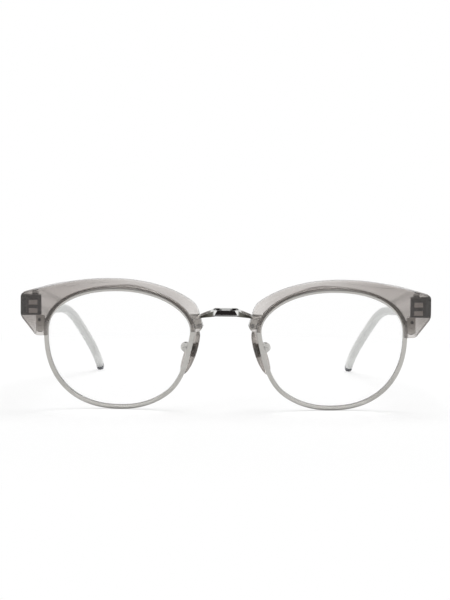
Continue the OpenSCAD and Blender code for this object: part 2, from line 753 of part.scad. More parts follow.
module hinge_screw() {
    color("dimgray") in_front() translate([axis_x, axis_d, hinge_v + hinge_h / 2 - knuckle_gap / 2])
        screw(hinge_screw_r, hinge_h - knuckle_gap, hinge_head_r, hinge_head_h);
}

module leaf() {
    inner = -temple_t / 2;
    at_temple() {
        block([inner, leaf_start, -leaf_h / 2], [inner + plate_t, leaf_start + leaf_len, leaf_h / 2]);
        block([inner + plate_t / 2, leaf_start + leaf_len - tang_len, -core_h / 2],
            [core_t / 2, leaf_start + leaf_len, core_h / 2]);
    }
}

module temple_hinge() {
    color("dimgray") in_front() difference() {
        union() {
            leaf();
            for (i = [1:2:knuckles - 1]) {
                knuckle(i);
                translate([0, 0, hinge_v + (i - knuckles / 2) * knuckle_h])
                    block([axis_x, axis_d, knuckle_gap / 2],
                        [temple_inner_x + bond, axis_d + knuckle_r, knuckle_h - knuckle_gap / 2]);
            }
        }
        translate([axis_x, axis_d, hinge_v - hinge_h]) cylinder(h = 2 * hinge_h, r = hinge_screw_r + pivot_fit);
    }
}

// ---- temples
function temple_down(s) = temple_drop
    + min(bend_angle, max(0, (s - temple_straight) / bend_radius * 180 / PI));

// How far the temple has turned inwards at a distance along it, and its angle there
function temple_inset(s) = tip_inset * ease((s - inset_from) / inset_span) / ease((temple_len - inset_from) / inset_span);
function temple_turn(s) = atan((temple_inset(s + 1) - temple_inset(s - 1)) / 2);

// Middle of the temple at a distance along it, in the frame of the front
function temple_mid(s) = let(
        straight = min(s, temple_straight), a = temple_down(s), ear = max(0, s - temple_straight - arc_len)
    ) [
        temple_x - temple_inset(s),
        temple_start_d + straight * cos(temple_drop) + bend_radius * (sin(a) - sin(temple_drop)) + ear * cos(a),
        hinge_v - straight * sin(temple_drop) - bend_radius * (cos(temple_drop) - cos(a)) - ear * sin(a)
    ];

function temple_half_h(s) = s < temple_straight + arc_len / 2
    ? mix(temple_h, temple_waist_h, pow(s / (temple_straight + arc_len / 2), waist_power)) / 2
    : mix(temple_waist_h, temple_tip_h, ease((s - temple_straight - arc_len / 2) / ear_len)) / 2;
function temple_half_t(s) = mix(temple_t, temple_tip_t, s / temple_len) / 2;

// Cross-section at a distance along the temple; the butt end is square to the front
function temple_ring(s, h, t, edge) = let(
        a = temple_down(s), b = temple_turn(s), e = edge * min(1, t / temple_half_t(s)),
        up = s == 0 ? [0, 0, 1 / cos(a)] : [0, sin(a), cos(a)],
        out = s == 0 ? [1, 0, 0] : [cos(b), sin(b) * cos(a), -sin(b) * sin(a)]
    ) [for (p = [[t, e - h], [t, h - e], [t - e, h], [e - t, h], [-t, h - e], [-t, e - h], [e - t, -h], [t - e, -h]])
        temple_mid(s) + p.x * out + p.y * up];

function steps_between(from, to, n) = [for (i = [0:n - 1]) mix(from, to, i / n)];

module temple() {
    body_len = temple_len - end_block;
    places = concat(
        steps_between(0, temple_straight, straight_steps),
        steps_between(temple_straight, temple_straight + arc_len, arc_steps),
        steps_between(temple_straight + arc_len, body_len, ear_steps),
        [body_len]
    );
    color("lightgray") in_front() difference() {
        skin([for (s = places) temple_ring(s, temple_half_h(s), temple_half_t(s), temple_edge)]);
        leaf();
        core_shape(core_fit);
    }
}

// The wire, or with room round it the bore that holds it, which opens into the plate's seat
module core_shape(room) {
    last = temple_len - core_margin;
    places = concat(
        steps_between(core_start - (room > 0 ? bond : 0), temple_straight, straight_steps),
        steps_between(temple_straight, temple_straight + arc_len, arc_steps),
        steps_between(temple_straight + arc_len, last, ear_steps),
        [last]
    );
    skin([for (s = places) let(
            a = temple_down(s), b = temple_turn(s),
            up = [0, sin(a), cos(a)], out = [cos(b), sin(b) * cos(a), -sin(b) * sin(a)]
        ) [for (p = [[1, -1], [1, 1], [-1, 1], [-1, -1]])
            temple_mid(s) + p.x * (core_t / 2 + room) * out + p.y * (core_h / 2 + room) * up]]);
}

module core_wire() color("silver") in_front() core_shape(0);

module temple_end() {
    from = temple_len - end_block;
    places = concat([[from, 0]], [for (i = [0:round_steps]) let(k = 90 * i / round_steps)
        [temple_len - end_round + end_round * sin(k), end_round * (1 - cos(k))]]);
    color("dimgray") in_front() skin([for (p = places)
        temple_ring(p[0], temple_half_h(p[0]) - p[1], temple_half_t(p[0]) - p[1], temple_edge)]);
}

bridge();
rim();  // rim_left
mirrored() rim();  // rim_right
lens();  // lens_left
mirrored() lens();  // lens_right
rim_lock_upper();  // rim_lock_upper_left
mirrored() rim_lock_upper();  // rim_lock_upper_right
rim_lock_lower();  // rim_lock_lower_left
mirrored() rim_lock_lower();  // rim_lock_lower_right
rim_screw();  // rim_screw_left
mirrored() rim_screw();  // rim_screw_right
brow();  // brow_left
mirrored() brow();  // brow_right
brow_tab();  // brow_tab_left
mirrored() brow_tab();  // brow_tab_right
brow_screw_outer();  // brow_screw_outer_left
mirrored() brow_screw_outer();  // brow_screw_outer_right
brow_screw_inner();  // brow_screw_inner_left
mirrored() brow_screw_inner();  // brow_screw_inner_right
pad_arm();  // pad_arm_left
mirrored() pad_arm();  // pad_arm_right
pad_screw();  // pad_screw_left
mirrored() pad_screw();  // pad_screw_right
nose_pad();  // nose_pad_left
mirrored() nose_pad();  // nose_pad_right
pad_insert();  // pad_insert_left
mirrored() pad_insert();  // pad_insert_right
front_hinge();  // front_hinge_left
mirrored() front_hinge();  // front_hinge_right
hinge_screw();  // hinge_screw_left
mirrored() hinge_screw();  // hinge_screw_right
temple_hinge();  // temple_hinge_left
mirrored() temple_hinge();  // temple_hinge_right
temple();  // temple_left
mirrored() temple();  // temple_right
core_wire();  // core_wire_left
mirrored() core_wire();  // core_wire_right
temple_end();  // temple_end_left
mirrored() temple_end();  // temple_end_right
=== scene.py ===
"""Browline eyeglasses on a white table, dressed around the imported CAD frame.

All lengths are metres in the frame of the CAD row: +X to the wearer's left, +Y back along the
temples, +Z up. Each pair of pieces is shaped once for the left side and mirrored for the right.
"""

import json
import math

import bmesh
import bpy
from bpy.props import FloatProperty, FloatVectorProperty, PointerProperty
from mathutils import Matrix, Vector


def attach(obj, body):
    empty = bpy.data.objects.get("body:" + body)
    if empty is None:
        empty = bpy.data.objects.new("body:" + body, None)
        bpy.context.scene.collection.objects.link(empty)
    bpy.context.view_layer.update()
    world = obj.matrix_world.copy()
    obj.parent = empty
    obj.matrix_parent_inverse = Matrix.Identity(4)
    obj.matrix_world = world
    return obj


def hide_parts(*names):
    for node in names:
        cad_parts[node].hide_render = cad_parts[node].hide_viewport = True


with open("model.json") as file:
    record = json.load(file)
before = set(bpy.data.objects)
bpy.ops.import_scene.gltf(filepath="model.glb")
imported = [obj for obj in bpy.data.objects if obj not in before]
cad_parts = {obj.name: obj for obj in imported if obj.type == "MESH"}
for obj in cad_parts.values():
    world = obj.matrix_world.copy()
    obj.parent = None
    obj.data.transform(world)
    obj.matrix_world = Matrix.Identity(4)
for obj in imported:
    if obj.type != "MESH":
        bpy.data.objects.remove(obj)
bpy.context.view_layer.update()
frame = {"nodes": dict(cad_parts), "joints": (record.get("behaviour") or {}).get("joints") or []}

bl_info = {
    "name": "Browline Eyeglasses",
    "version": (1, 0, 0),
    "blender": (4, 5, 0),
    "location": "View3D > Sidebar > Eyeglasses",
    "description": "Dresses the CAD frame of a pair of browline eyeglasses",
    "category": "Add Mesh",
}

MM = 0.001
# Pockets are this much smaller than what they hold, so that its edges are closed in
HAIR = 0.02 * MM
SIDES = (("left", 1), ("right", -1))


def linear(code):
    """An sRGB hex colour as linear red, green and blue."""
    parts = [int(code[i:i + 2], 16) / 255 for i in (1, 3, 5)]
    return tuple(p / 12.92 if p <= 0.04045 else ((p + 0.055) / 1.055) ** 2.4 for p in parts)


def size(name, description, millimetres):
    """A length that the user can change, given here in millimetres."""
    return FloatProperty(name=name, description=description, default=millimetres * MM, min=0,
                         unit="LENGTH", precision=5)


def turn(name, description, degrees):
    """An angle that the user can change, given here in degrees."""
    return FloatProperty(name=name, description=description, default=math.radians(degrees),
                         unit="ROTATION")


def colour(name, description, code):
    """A colour that the user can change, given here as sRGB hex."""
    return FloatVectorProperty(name=name, description=description, default=linear(code), size=3,
                               min=0, max=1, subtype="COLOR")


class FrontSizes(bpy.types.PropertyGroup):
    """Sizes of the lenses, rims and brows."""

    lens_width: size("Lens width", "Width of one lens, bevel included", 50.2)
    lens_height: size("Lens height", "Height of one lens, bevel included", 40.6)
    lens_rise: size("Lens rise", "Height of the lens above its widest line", 15.35)
    nose_cut: size("Nose cut", "How far the lens is cut back beside the nose pad", 1.25)
    lens_thickness: size("Lens thickness", "Thickness of the lens", 1.8)
    lens_bevel: size("Lens bevel", "How far the bevel stands out of the lens edge", 0.4)
    base_radius: size("Base curve", "Radius of the curve that lens, rim and brow follow", 160)
    lens_gap: size("Nose gap", "Distance between the two lenses", 23.2)
    wrap: turn("Wrap", "Angle at which each lens turns back towards its temple", 4)
    lean: turn("Lean", "Angle at which the front leans forward as it stands", 5)
    rim_width: size("Rim width", "Width of the rim, seen from the front", 1.6)
    rim_depth: size("Rim depth", "Depth of the rim, front to back", 2.6)
    rim_rounding: size("Rim rounding", "Rounding of the rim's outer edges", 0.55)
    brow_bevel: size("Brow bevel", "Width of the bevel along the top of the brow", 1.4)
    brow_lip: size("Brow lip", "Thickness of the lip that covers the rim", 1.6)


class BridgeSizes(bpy.types.PropertyGroup):
    """Sizes of the bridge bar."""

    height: size("Height", "Height of the bar at its middle", 2.8)
    end_height: size("End height", "Height of the bar beside each brow", 1.4)
    thickness: size("Thickness", "Thickness of the bar, front to back", 2)
    bow: size("Bow", "How far the bar bows forward of the rims", 2.2)
    rise: size("Rise", "Height of the bar's middle above the lens's widest line", 8.35)
    sag: size("Sag", "How far the ends of the bar lie below its middle", 1.85)
    border: size("Border", "Width of the polished border round each sunk panel", 0.5)
    panel_depth: size("Panel depth", "Depth of the sunk panels", 0.3)


class TempleSizes(bpy.types.PropertyGroup):
    """Sizes of the temples."""

    height: size("Height", "Height of the temple at the hinge", 7.3)
    waist: size("Waist", "Height of the temple at the bend", 3)
    tip_height: size("Tip height", "Height of the ear part at its end", 3.3)
    thickness: size("Thickness", "Thickness of the temple at the hinge", 4)
    tip_thickness: size("Tip thickness", "Thickness of the temple at its end", 2.9)
    straight: size("Straight", "Length of the straight part", 96)
    bend_radius: size("Bend radius", "Radius of the bend behind the ear", 22)
    tip_inset: size("Tip inset", "How far the end lies inwards of the hinge", 18)
    inset_from: size("Inset from", "Where along the temple it starts to turn inwards", 70)
    inset_span: size("Inset span", "Length over which the turn grows to its full", 77)
    end_block: size("End block", "Length of the dark block at the end", 2.4)
    drop: turn("Drop", "Angle at which the temple drops from the square of the front", 10)
    bend: turn("Bend", "Angle of the bend behind the ear", 38)


class PadSizes(bpy.types.PropertyGroup):
    """Sizes of the nose pads."""

    length: size("Length", "Length of the nose pad", 16.5)
    width: size("Width", "Width of the nose pad", 7.4)
    thickness: size("Thickness", "Thickness of the nose pad at its middle", 2.2)
    wire: size("Arm wire", "Radius of the pad arm's wire", 0.55)
    spread: size("Spread", "Distance of the pad's pivot from the middle of the nose", 13.9)
    frontal: turn("Frontal angle", "Angle between the pad and the upright", 20)
    splay: turn("Splay", "Angle at which the pad opens towards the back", 23)


class Finishes(bpy.types.PropertyGroup):
    """Colours of the finishes."""

    brow: colour("Brow", "Frosted acetate of the brows where it is thinnest", "#D8D4D1")
    brow_thick: colour("Thick brow", "The same acetate in the thicker end pieces", "#B2ACA8")
    # Painted shade: the milled channel is darkened for the shade between the brow's lip and the rim
    brow_channel_shade: colour("Brow cuts", "Milled acetate in the brow's channel", "#847B73")
    # Painted shade: the end piece's outer wall is darkened where the light inside it turns back
    brow_edge: colour("Brow edge", "Outer wall of the end piece, where the light turns back", "#807A76")
    temple: colour("Temple", "Polished acetate of the temples", "#E3E4E2")
    # Painted shade: the butt is darkened for the shade in the gap behind the brow
    temple_butt_shade: colour("Temple butt", "Sawn end of the temple against the front", "#383432")
    temple_end: colour("Temple end", "Dark acetate at the end of the temples", "#3A3D45")
    rim: colour("Rim", "Satin plating of the rims and their fittings", "#B9B7B3")
    # Painted light: the locks and tabs are made this pale because little light reaches them inside the
    # brow
    lock: colour("Lock", "Milled nickel silver of the rim locks", "#F4F4F1")
    bridge: colour("Bridge", "Polished plating of the bridge", "#E6E6E4")
    bridge_dark: colour("Bridge middle", "Blackened metal in the middle panel", "#262323")
    bridge_rubbed: colour("Bridge sides", "Blackened metal, half rubbed off, in the side panels",
                          "#63625B")
    # Painted shade: the hinges are darkened for the shade they lie in behind the end piece
    hinge: colour("Hinge", "Stamped metal of the hinges", "#443F3D")
    # Painted highlight: the anchors' front faces, lit through the brow
    anchor: colour("Anchor", "Bright faces of the anchors that hold the hinge in the front", "#AFA8A4")
    screw: colour("Screw", "Turned steel of the screws", "#8A8886")
    # Only the outer screw of each brow takes this dark colour; the inner one is turned steel
    screw_dark: colour("Dark screw", "Blackened steel of the screws in the brows", "#35302D")
    lens: colour("Lens", "Clear resin of the lenses", "#FFFFFF")
    pad: colour("Pad", "Clear silicone of the nose pads", "#B5AFAA")
    insert: colour("Insert", "Stamped metal in the nose pads", "#4A3B30")
    table: colour("Table", "Matt white card that the glasses stand on", "#FFFFFF")


class Eyeglasses(bpy.types.PropertyGroup):
    """Everything that a user would change."""

    front: PointerProperty(type=FrontSizes)
    bridge: PointerProperty(type=BridgeSizes)
    temple: PointerProperty(type=TempleSizes)
    pad: PointerProperty(type=PadSizes)
    finish: PointerProperty(type=Finishes)


# Curves and sections

def ease(x):
    """0 below 0, 1 above 1, and a smooth step between."""
    k = min(1.0, max(0.0, x))
    return k * k * (3 - 2 * k)


def mix(a, b, k):
    """The value a share k of the way from a to b."""
    return a + (b - a) * k


def steps(start, end, count):
    """Values from start to end, both included."""
    return [mix(start, end, i / (count - 1)) for i in range(count)]


def cubic(a, b, c, d, count):
    """Points along a cubic curve, without its first."""
    return [a * (1 - t) ** 3 + b * 3 * (1 - t) ** 2 * t + c * 3 * (1 - t) * t * t + d * t ** 3
            for t in steps(0, 1, count + 1)[1:]]


def corner(before, point, after, radius, count):
    """Points of a rounded corner."""
    a = point + (before - point).normalized() * radius
    b = point + (after - point).normalized() * radius
    return [a * (1 - t) ** 2 + point * 2 * (1 - t) * t + b * t * t for t in steps(0, 1, count)]


def soften(points, radii, count=4):
    """A closed profile with each corner rounded by its own radius."""
    made = []
    for i, (point, radius) in enumerate(zip(points, radii)):
        before, after = points[i - 1], points[(i + 1) % len(points)]
        room = 0.48 * min((before - point).length, (after - point).length)
        made += corner(before, point, after, min(radius, room), count)
    return made


class Plan:
    """The lines of the front and temples, in the frames that the CAD source uses.

    Eye frame: across towards the temple, depth, up from the lens's widest line.
    Front frame: the same directions before the front leans, from the feet of the rims.
    """

    # Squareness of each quarter of the lens, where 2 is an ellipse
    LOWER_OUTER, LOWER_INNER, UPPER_OUTER, UPPER_INNER = 2.3, 2.15, 2.18, 2
    # Degrees above the widest line at which the cut beside the pad starts, is full and ends
    CUT_START, CUT_FULL, CUT_END = 12, -16, -52
    # Flat left on each side of the bevel round the lens
    EDGE_FLAT = 0.22 * MM
    # The brow's end piece: its reach past the lens opening, its top's drop below the opening's,
    # its height and its thickness
    END_REACH, END_DROP, END_HEIGHT, END_THICKNESS = 9.7 * MM, 1.55 * MM, 7.8 * MM, 3.9 * MM
    # The hinge's height above the widest line, and its pivot's distance from brow and temple
    HINGE_RISE, KNUCKLE_REACH = 9.1 * MM, 1.45 * MM
    # The hinge plate in the brow: its middle outwards of the pivot, half its width, half its
    # height and its depth
    PLATE_SHIFT, PLATE_HALF, PLATE_HALF_HEIGHT, PLATE_DEPTH = 0.65 * MM, 2.7 * MM, 3.5 * MM, 0.9 * MM
    # The temple: its gap to the brow, its step in from the end piece, the rounding of its end,
    # and how late its height falls towards the bend, where 1 is even
    BUTT_GAP, STEP_IN, END_ROUND, TAPER = 0.15 * MM, 0.1 * MM, 0.9 * MM, 1.15
    # Where the bridge enters the brow, inwards of the lens opening
    NECK = 3.2 * MM
    # The foot of the brow's end piece, above the widest line
    FOOT = -0.85 * MM
    # The pad's pivot, behind the face of the front and below the widest line
    PAD_BEHIND, PAD_BELOW = 8.6 * MM, 5.5 * MM

    def __init__(self, sizes):
        f, t = sizes.front, sizes.temple
        self.front, self.bridge, self.temple, self.pad = f, sizes.bridge, t, sizes.pad
        self.lean, self.unlean = (Matrix.Rotation(a, 3, "X") for a in (f.lean, -f.lean))
        self.half_open = f.lens_width / 2 - f.lens_bevel
        self.rise_open = f.lens_rise - f.lens_bevel
        self.drop_open = f.lens_height - f.lens_rise - f.lens_bevel
        self.eye_x = f.lens_gap / 2 + f.lens_width / 2 * math.cos(f.wrap)
        self.eye_v = self.drop_open + f.rim_width
        self.neck = self.eye_x - self.half_open - self.NECK
        end_u = self.half_open + self.END_REACH
        self.end_top = Vector((end_u, self.rise_open - self.END_DROP))
        self.end_low = self.end_top - Vector((0, self.END_HEIGHT))
        level = (self.end_top.y + self.end_low.y) / 2
        self.seat = ((self.sag(end_u, level) - f.brow_lip) * math.cos(f.wrap)
                     + end_u * math.sin(f.wrap) + self.END_THICKNESS)
        self.hinge_v = self.eye_v + self.HINGE_RISE
        self.temple_x = self.eye_x + end_u * math.cos(f.wrap) - self.STEP_IN - t.thickness / 2
        self.temple_start = self.seat + self.BUTT_GAP
        self.plate_x = self.temple_x - t.thickness / 2 - self.KNUCKLE_REACH + self.PLATE_SHIFT
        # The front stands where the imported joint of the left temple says
        hinge = Vector(next(j for j in frame["joints"] if j["name"] == "temple_left_hinge")["pos_m"])
        pivot = Vector((0, self.seat + self.KNUCKLE_REACH, self.hinge_v))
        self.base = Vector((0, hinge.y, hinge.z)) - self.lean @ pivot
        # The ear part is as long as it takes to bring its end down to the table
        self.arc = t.bend_radius * t.bend
        down = t.drop - f.lean
        ear = down + t.bend
        start_z = self.in_front(Vector((0, self.temple_start, self.hinge_v))).z
        arc_z = start_z - t.straight * math.sin(down) - t.bend_radius * (math.cos(down) - math.cos(ear))
        half = t.tip_height / 2 - self.END_ROUND
        tip_z = self.END_ROUND + half * math.cos(ear) - self.END_ROUND * math.sin(ear)
        self.ear = (arc_z - tip_z) / math.sin(ear)
        self.length = t.straight + self.arc + self.ear

    def sag(self, u, w):
        """Depth of the curved face at a point of the eye."""
        return (u * u + w * w) / (2 * self.front.base_radius)

    def radius(self, angle, grow):
        """Distance of the lens opening's outline from its middle, moved outwards by grow."""
        c, s = math.cos(angle), math.sin(angle)
        if s < 0:
            k, rise = (self.LOWER_INNER if c < 0 else self.LOWER_OUTER), self.drop_open
        else:
            k, rise = (self.UPPER_INNER if c < 0 else self.UPPER_OUTER), self.rise_open
        full = ((abs(c) / (self.half_open + grow)) ** k + (abs(s) / (rise + grow)) ** k) ** (-1 / k)
        above = math.degrees(math.atan2(s, -c))
        grown = ease((self.CUT_START - above) / (self.CUT_START - self.CUT_FULL))
        gone = ease((self.CUT_FULL - above) / (self.CUT_FULL - self.CUT_END))
        return full - self.front.nose_cut * grown * (1 - gone)

    def at(self, angle, radius, depth):
        """A point of the eye at a radius, at a depth behind the curved face."""
        u, w = radius * math.cos(angle), radius * math.sin(angle)
        return Vector((u, self.sag(u, w) + depth, w))

    def in_eye(self, p):
        """Eye frame to front frame."""
        return Matrix.Rotation(self.front.wrap, 3, "Z") @ p + Vector((self.eye_x, 0, self.eye_v))

    def in_front(self, p):
        """Front frame to the row's frame."""
        return self.lean @ p + self.base

    def eye_point(self, p):
        """Eye frame to the row's frame."""
        return self.in_front(self.in_eye(p))

    def to_front(self, p):
        """The row's frame to front frame."""
        return self.unlean @ (p - self.base)

    def to_eye(self, p, turn_only=False):
        """A point, or a direction, of the row's frame in the left eye's frame."""
        unwrap = Matrix.Rotation(-self.front.wrap, 3, "Z")
        if turn_only:
            return unwrap @ self.unlean @ p
        return unwrap @ (self.to_front(p) - Vector((self.eye_x, 0, self.eye_v)))

    def on_back(self, p, u, w):
        """Eye-frame point p of the frame that is tangent to the rim's back at u, w."""
        k = self.front.base_radius
        tilt = Matrix.Rotation(math.atan(u / k), 3, "Z") @ Matrix.Rotation(-math.atan(w / k), 3, "X")
        return tilt @ p + Vector((u, self.sag(u, w) + self.front.rim_depth, w))

    def lever(self, s):
        """Middle of the temple at a distance along it, in the front frame, with its down angle."""
        t = self.temple
        straight = min(s, t.straight)
        bent = min(t.bend, max(0, (s - t.straight) / t.bend_radius))
        a = t.drop + bent
        ear = max(0, s - t.straight - self.arc)
        inset = (t.tip_inset * ease((s - t.inset_from) / t.inset_span)
                 / ease((self.length - t.inset_from) / t.inset_span))
        return Vector((
            self.temple_x - inset,
            self.temple_start + straight * math.cos(t.drop)
            + t.bend_radius * (math.sin(a) - math.sin(t.drop)) + ear * math.cos(a),
            self.hinge_v - straight * math.sin(t.drop)
            - t.bend_radius * (math.cos(t.drop) - math.cos(a)) - ear * math.sin(a))), a

    def temple_half(self, s):
        """Half the height and half the thickness of the temple at a distance along it."""
        t = self.temple
        waist = t.straight + self.arc / 2
        if s < waist:
            h = mix(t.height, t.waist, (s / waist) ** self.TAPER)
        else:
            h = mix(t.waist, t.tip_height, ease((s - waist) / self.ear))
        return h / 2, mix(t.thickness, t.tip_thickness, s / self.length) / 2

    def temple_ring(self, s, shrink, rounding):
        """Rounded section of the temple, with the butt end square to the front."""
        mid, a = self.lever(s)
        b = math.atan((self.lever(s + MM)[0].x - self.lever(s - MM)[0].x) / (-2 * MM))
        up = Vector((0, 0, 1 / math.cos(a))) if s == 0 else Vector((0, math.sin(a), math.cos(a)))
        out = Vector((1, 0, 0)) if s == 0 else Vector(
            (math.cos(b), math.sin(b) * math.cos(a), -math.sin(b) * math.sin(a)))
        h, t = (x - shrink for x in self.temple_half(s))
        square = [mid + out * x + up * z for x, z in ((t, -h), (t, h), (-t, h), (-t, -h))]
        return [self.in_front(p) for p in soften(square, [rounding] * 4)]

    def pad_point(self, p):
        """Pad frame, across, along its width and along its length, to the row's frame."""
        pad = self.pad
        turned = Matrix.Rotation(-pad.frontal, 3, "Y") @ Matrix.Rotation(-pad.splay, 3, "Z") @ p
        pivot = Vector((pad.spread, self.PAD_BEHIND, self.eye_v - self.PAD_BELOW))
        return self.in_front(turned + pivot)


# Meshes

def skin(rings, looped=False):
    """Vertices and faces of a tube of rings, each ring a closed loop of as many points."""
    n, m = len(rings), len(rings[0])
    faces = [(i * m + j, i * m + (j + 1) % m, (i + 1) % n * m + (j + 1) % m, (i + 1) % n * m + j)
             for i in range(n if looped else n - 1) for j in range(m)]
    if not looped:
        faces += [tuple(reversed(range(m))), tuple(range((n - 1) * m, n * m))]
    return [p for r in rings for p in r], faces


def block(low, high, place):
    """Vertices and faces of a block between two corners, its points moved by place."""
    points = [place(Vector((x, y, z))) for x in (low[0], high[0]) for y in (low[1], high[1])
              for z in (low[2], high[2])]
    return points, [(0, 1, 3, 2), (4, 6, 7, 5), (0, 4, 5, 1), (2, 3, 7, 6), (0, 2, 6, 4), (1, 5, 7, 3)]


def prism(outline, front, back, place):
    """Vertices and faces of an outline, across and up, between two depths."""
    n = len(outline)
    points = [place(Vector((x, y, z))) for y in (front, back) for x, z in outline]
    faces = [(i, (i + 1) % n, n + (i + 1) % n, n + i) for i in range(n)]
    return points, faces + [tuple(range(n)), tuple(reversed(range(n, 2 * n)))]


def joined(*shapes):
    """Several shapes' vertices and faces as one."""
    points, faces = [], []
    for some_points, some_faces in shapes:
        start = len(points)
        points += some_points
        faces += [tuple(start + i for i in f) for f in some_faces]
    return points, faces


def new_object(name, shape, side=1):
    """An object of a shape's vertices and faces, mirrored for the right side, facing outwards."""
    points, faces = shape
    mesh = bpy.data.meshes.new(name)
    mesh.from_pydata([(p[0] * side, p[1], p[2]) for p in points], [], faces)
    mesh.validate()
    made = bpy.data.objects.new(name, mesh)
    bpy.context.scene.collection.objects.link(made)
    face_out(mesh)
    return made


def face_out(mesh):
    """Turns each closed shell of a mesh to face outwards."""
    work = bmesh.new()
    work.from_mesh(mesh)
    bmesh.ops.recalc_face_normals(work, faces=work.faces)
    work.to_mesh(mesh)
    work.free()


def cut(target, cutters):
    """Takes the cutters out of the target's mesh and removes them."""
    for cutter in cutters:
        carve = target.modifiers.new("carve", "BOOLEAN")
        carve.operation = "DIFFERENCE"
        carve.object = cutter
        carve.solver = "EXACT"
    seen = target.evaluated_get(bpy.context.evaluated_depsgraph_get())
    carved = bpy.data.meshes.new_from_object(seen)
    target.modifiers.clear()
    old = target.data
    target.data = carved
    bpy.data.meshes.remove(old)
    for cutter in cutters:
        bpy.data.objects.remove(cutter)


def wear(piece, width, segments):
    """Rounds the sharp edges of a piece a little."""
    worn = piece.modifiers.new("worn_edges", "BEVEL")
    worn.width, worn.segments, worn.limit_method = width, segments, "ANGLE"
    worn.angle_limit = math.radians(50)


def dress(piece, body, slot, replaced, *finishes, sharp=32):
    """Rides a piece on its body, in place of a CAD node, with its finishes and smooth faces.

    Edges that turn by more than sharp degrees stay sharp.
    """
    for key in finishes:
        piece.data.materials.append(finish_of(key))
    piece.data.shade_smooth()
    piece.data.set_sharp_from_angle(angle=math.radians(sharp))
    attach(piece, body)
    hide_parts(replaced)


# Materials

# Sockets of a Mix node that is set to colours
COLOUR_A, COLOUR_B, COLOUR_OUT = 6, 7, 2
ACETATE_IOR, SILICONE_IOR, RESIN_IOR = 1.48, 1.41, 1.5


def node(tree, kind, links=(), **settings):
    """Adds a node, sets its inputs or its own settings by name, and links its inputs.

    links holds (input, node, output) for each linked input. A setting named in_NAME sets the
    input NAME, with _ for a space.
    """
    made = tree.nodes.new(kind)
    for key, value in settings.items():
        if key.startswith("in_"):
            made.inputs[key[3:].replace("_", " ")].default_value = value
        else:
            setattr(made, key, value)
    for name, other, output in links:
        tree.links.new(other.outputs[output], made.inputs[name])
    return made


def surface(name):
    """An empty node material, and its nodes' tree."""
    made = bpy.data.materials.new(name)
    made.use_nodes = True
    made.node_tree.nodes.clear()
    return made, made.node_tree


def grain(tree, base, cloud_size, contrast):
    """A base colour that lightens and darkens in soft clouds of a size."""
    where = node(tree, "ShaderNodeTexCoord")
    clouds = node(tree, "ShaderNodeTexNoise", [("Vector", where, "Object")],
                  in_Scale=1 / cloud_size, in_Detail=3.0, in_Roughness=0.55)
    tone = node(tree, "ShaderNodeMix", [("Factor", clouds, "Fac")], data_type="RGBA")
    for socket, share in ((COLOUR_A, 1 - contrast), (COLOUR_B, 1 + contrast)):
        tone.inputs[socket].default_value = (*[min(1, c * share) for c in base], 1)
    return tone


def coat(tree, tone, relief, **settings):
    """Gives a tree its shader and output, with a tone and a fine relief of (size, height)."""
    links = [("Base Color", tone, COLOUR_OUT)]
    if relief:
        pattern_size, height = relief
        where = node(tree, "ShaderNodeTexCoord")
        grit = node(tree, "ShaderNodeTexNoise", [("Vector", where, "Object")],
                    in_Scale=1 / pattern_size, in_Detail=2.0)
        bump = node(tree, "ShaderNodeBump", [("Height", grit, "Fac")], in_Strength=1.0,
                    in_Distance=height)
        links.append(("Normal", bump, "Normal"))
    shader = node(tree, "ShaderNodeBsdfPrincipled", links, **settings)
    node(tree, "ShaderNodeOutputMaterial", [("Surface", shader, "BSDF")])


def plain(name, base, clouds, relief, **settings):
    """A material of one colour, in clouds of (size, contrast)."""
    made, tree = surface(name)
    coat(tree, grain(tree, base, *clouds), relief, **settings)
    return made


def acetate(name, base, clouds, relief, roughness, clarity=0.0):
    """Cellulose acetate, milky where its clarity is above 0."""
    return plain(name, base, clouds, relief, in_Roughness=roughness, in_IOR=ACETATE_IOR,
                 in_Transmission_Weight=clarity)


def metal(name, base, roughness, relief, contrast=0.05):
    """A plated or bare metal, with fine wear in its tone."""
    return plain(name, base, (3 * MM, contrast), relief, in_Roughness=roughness, in_Metallic=1.0)


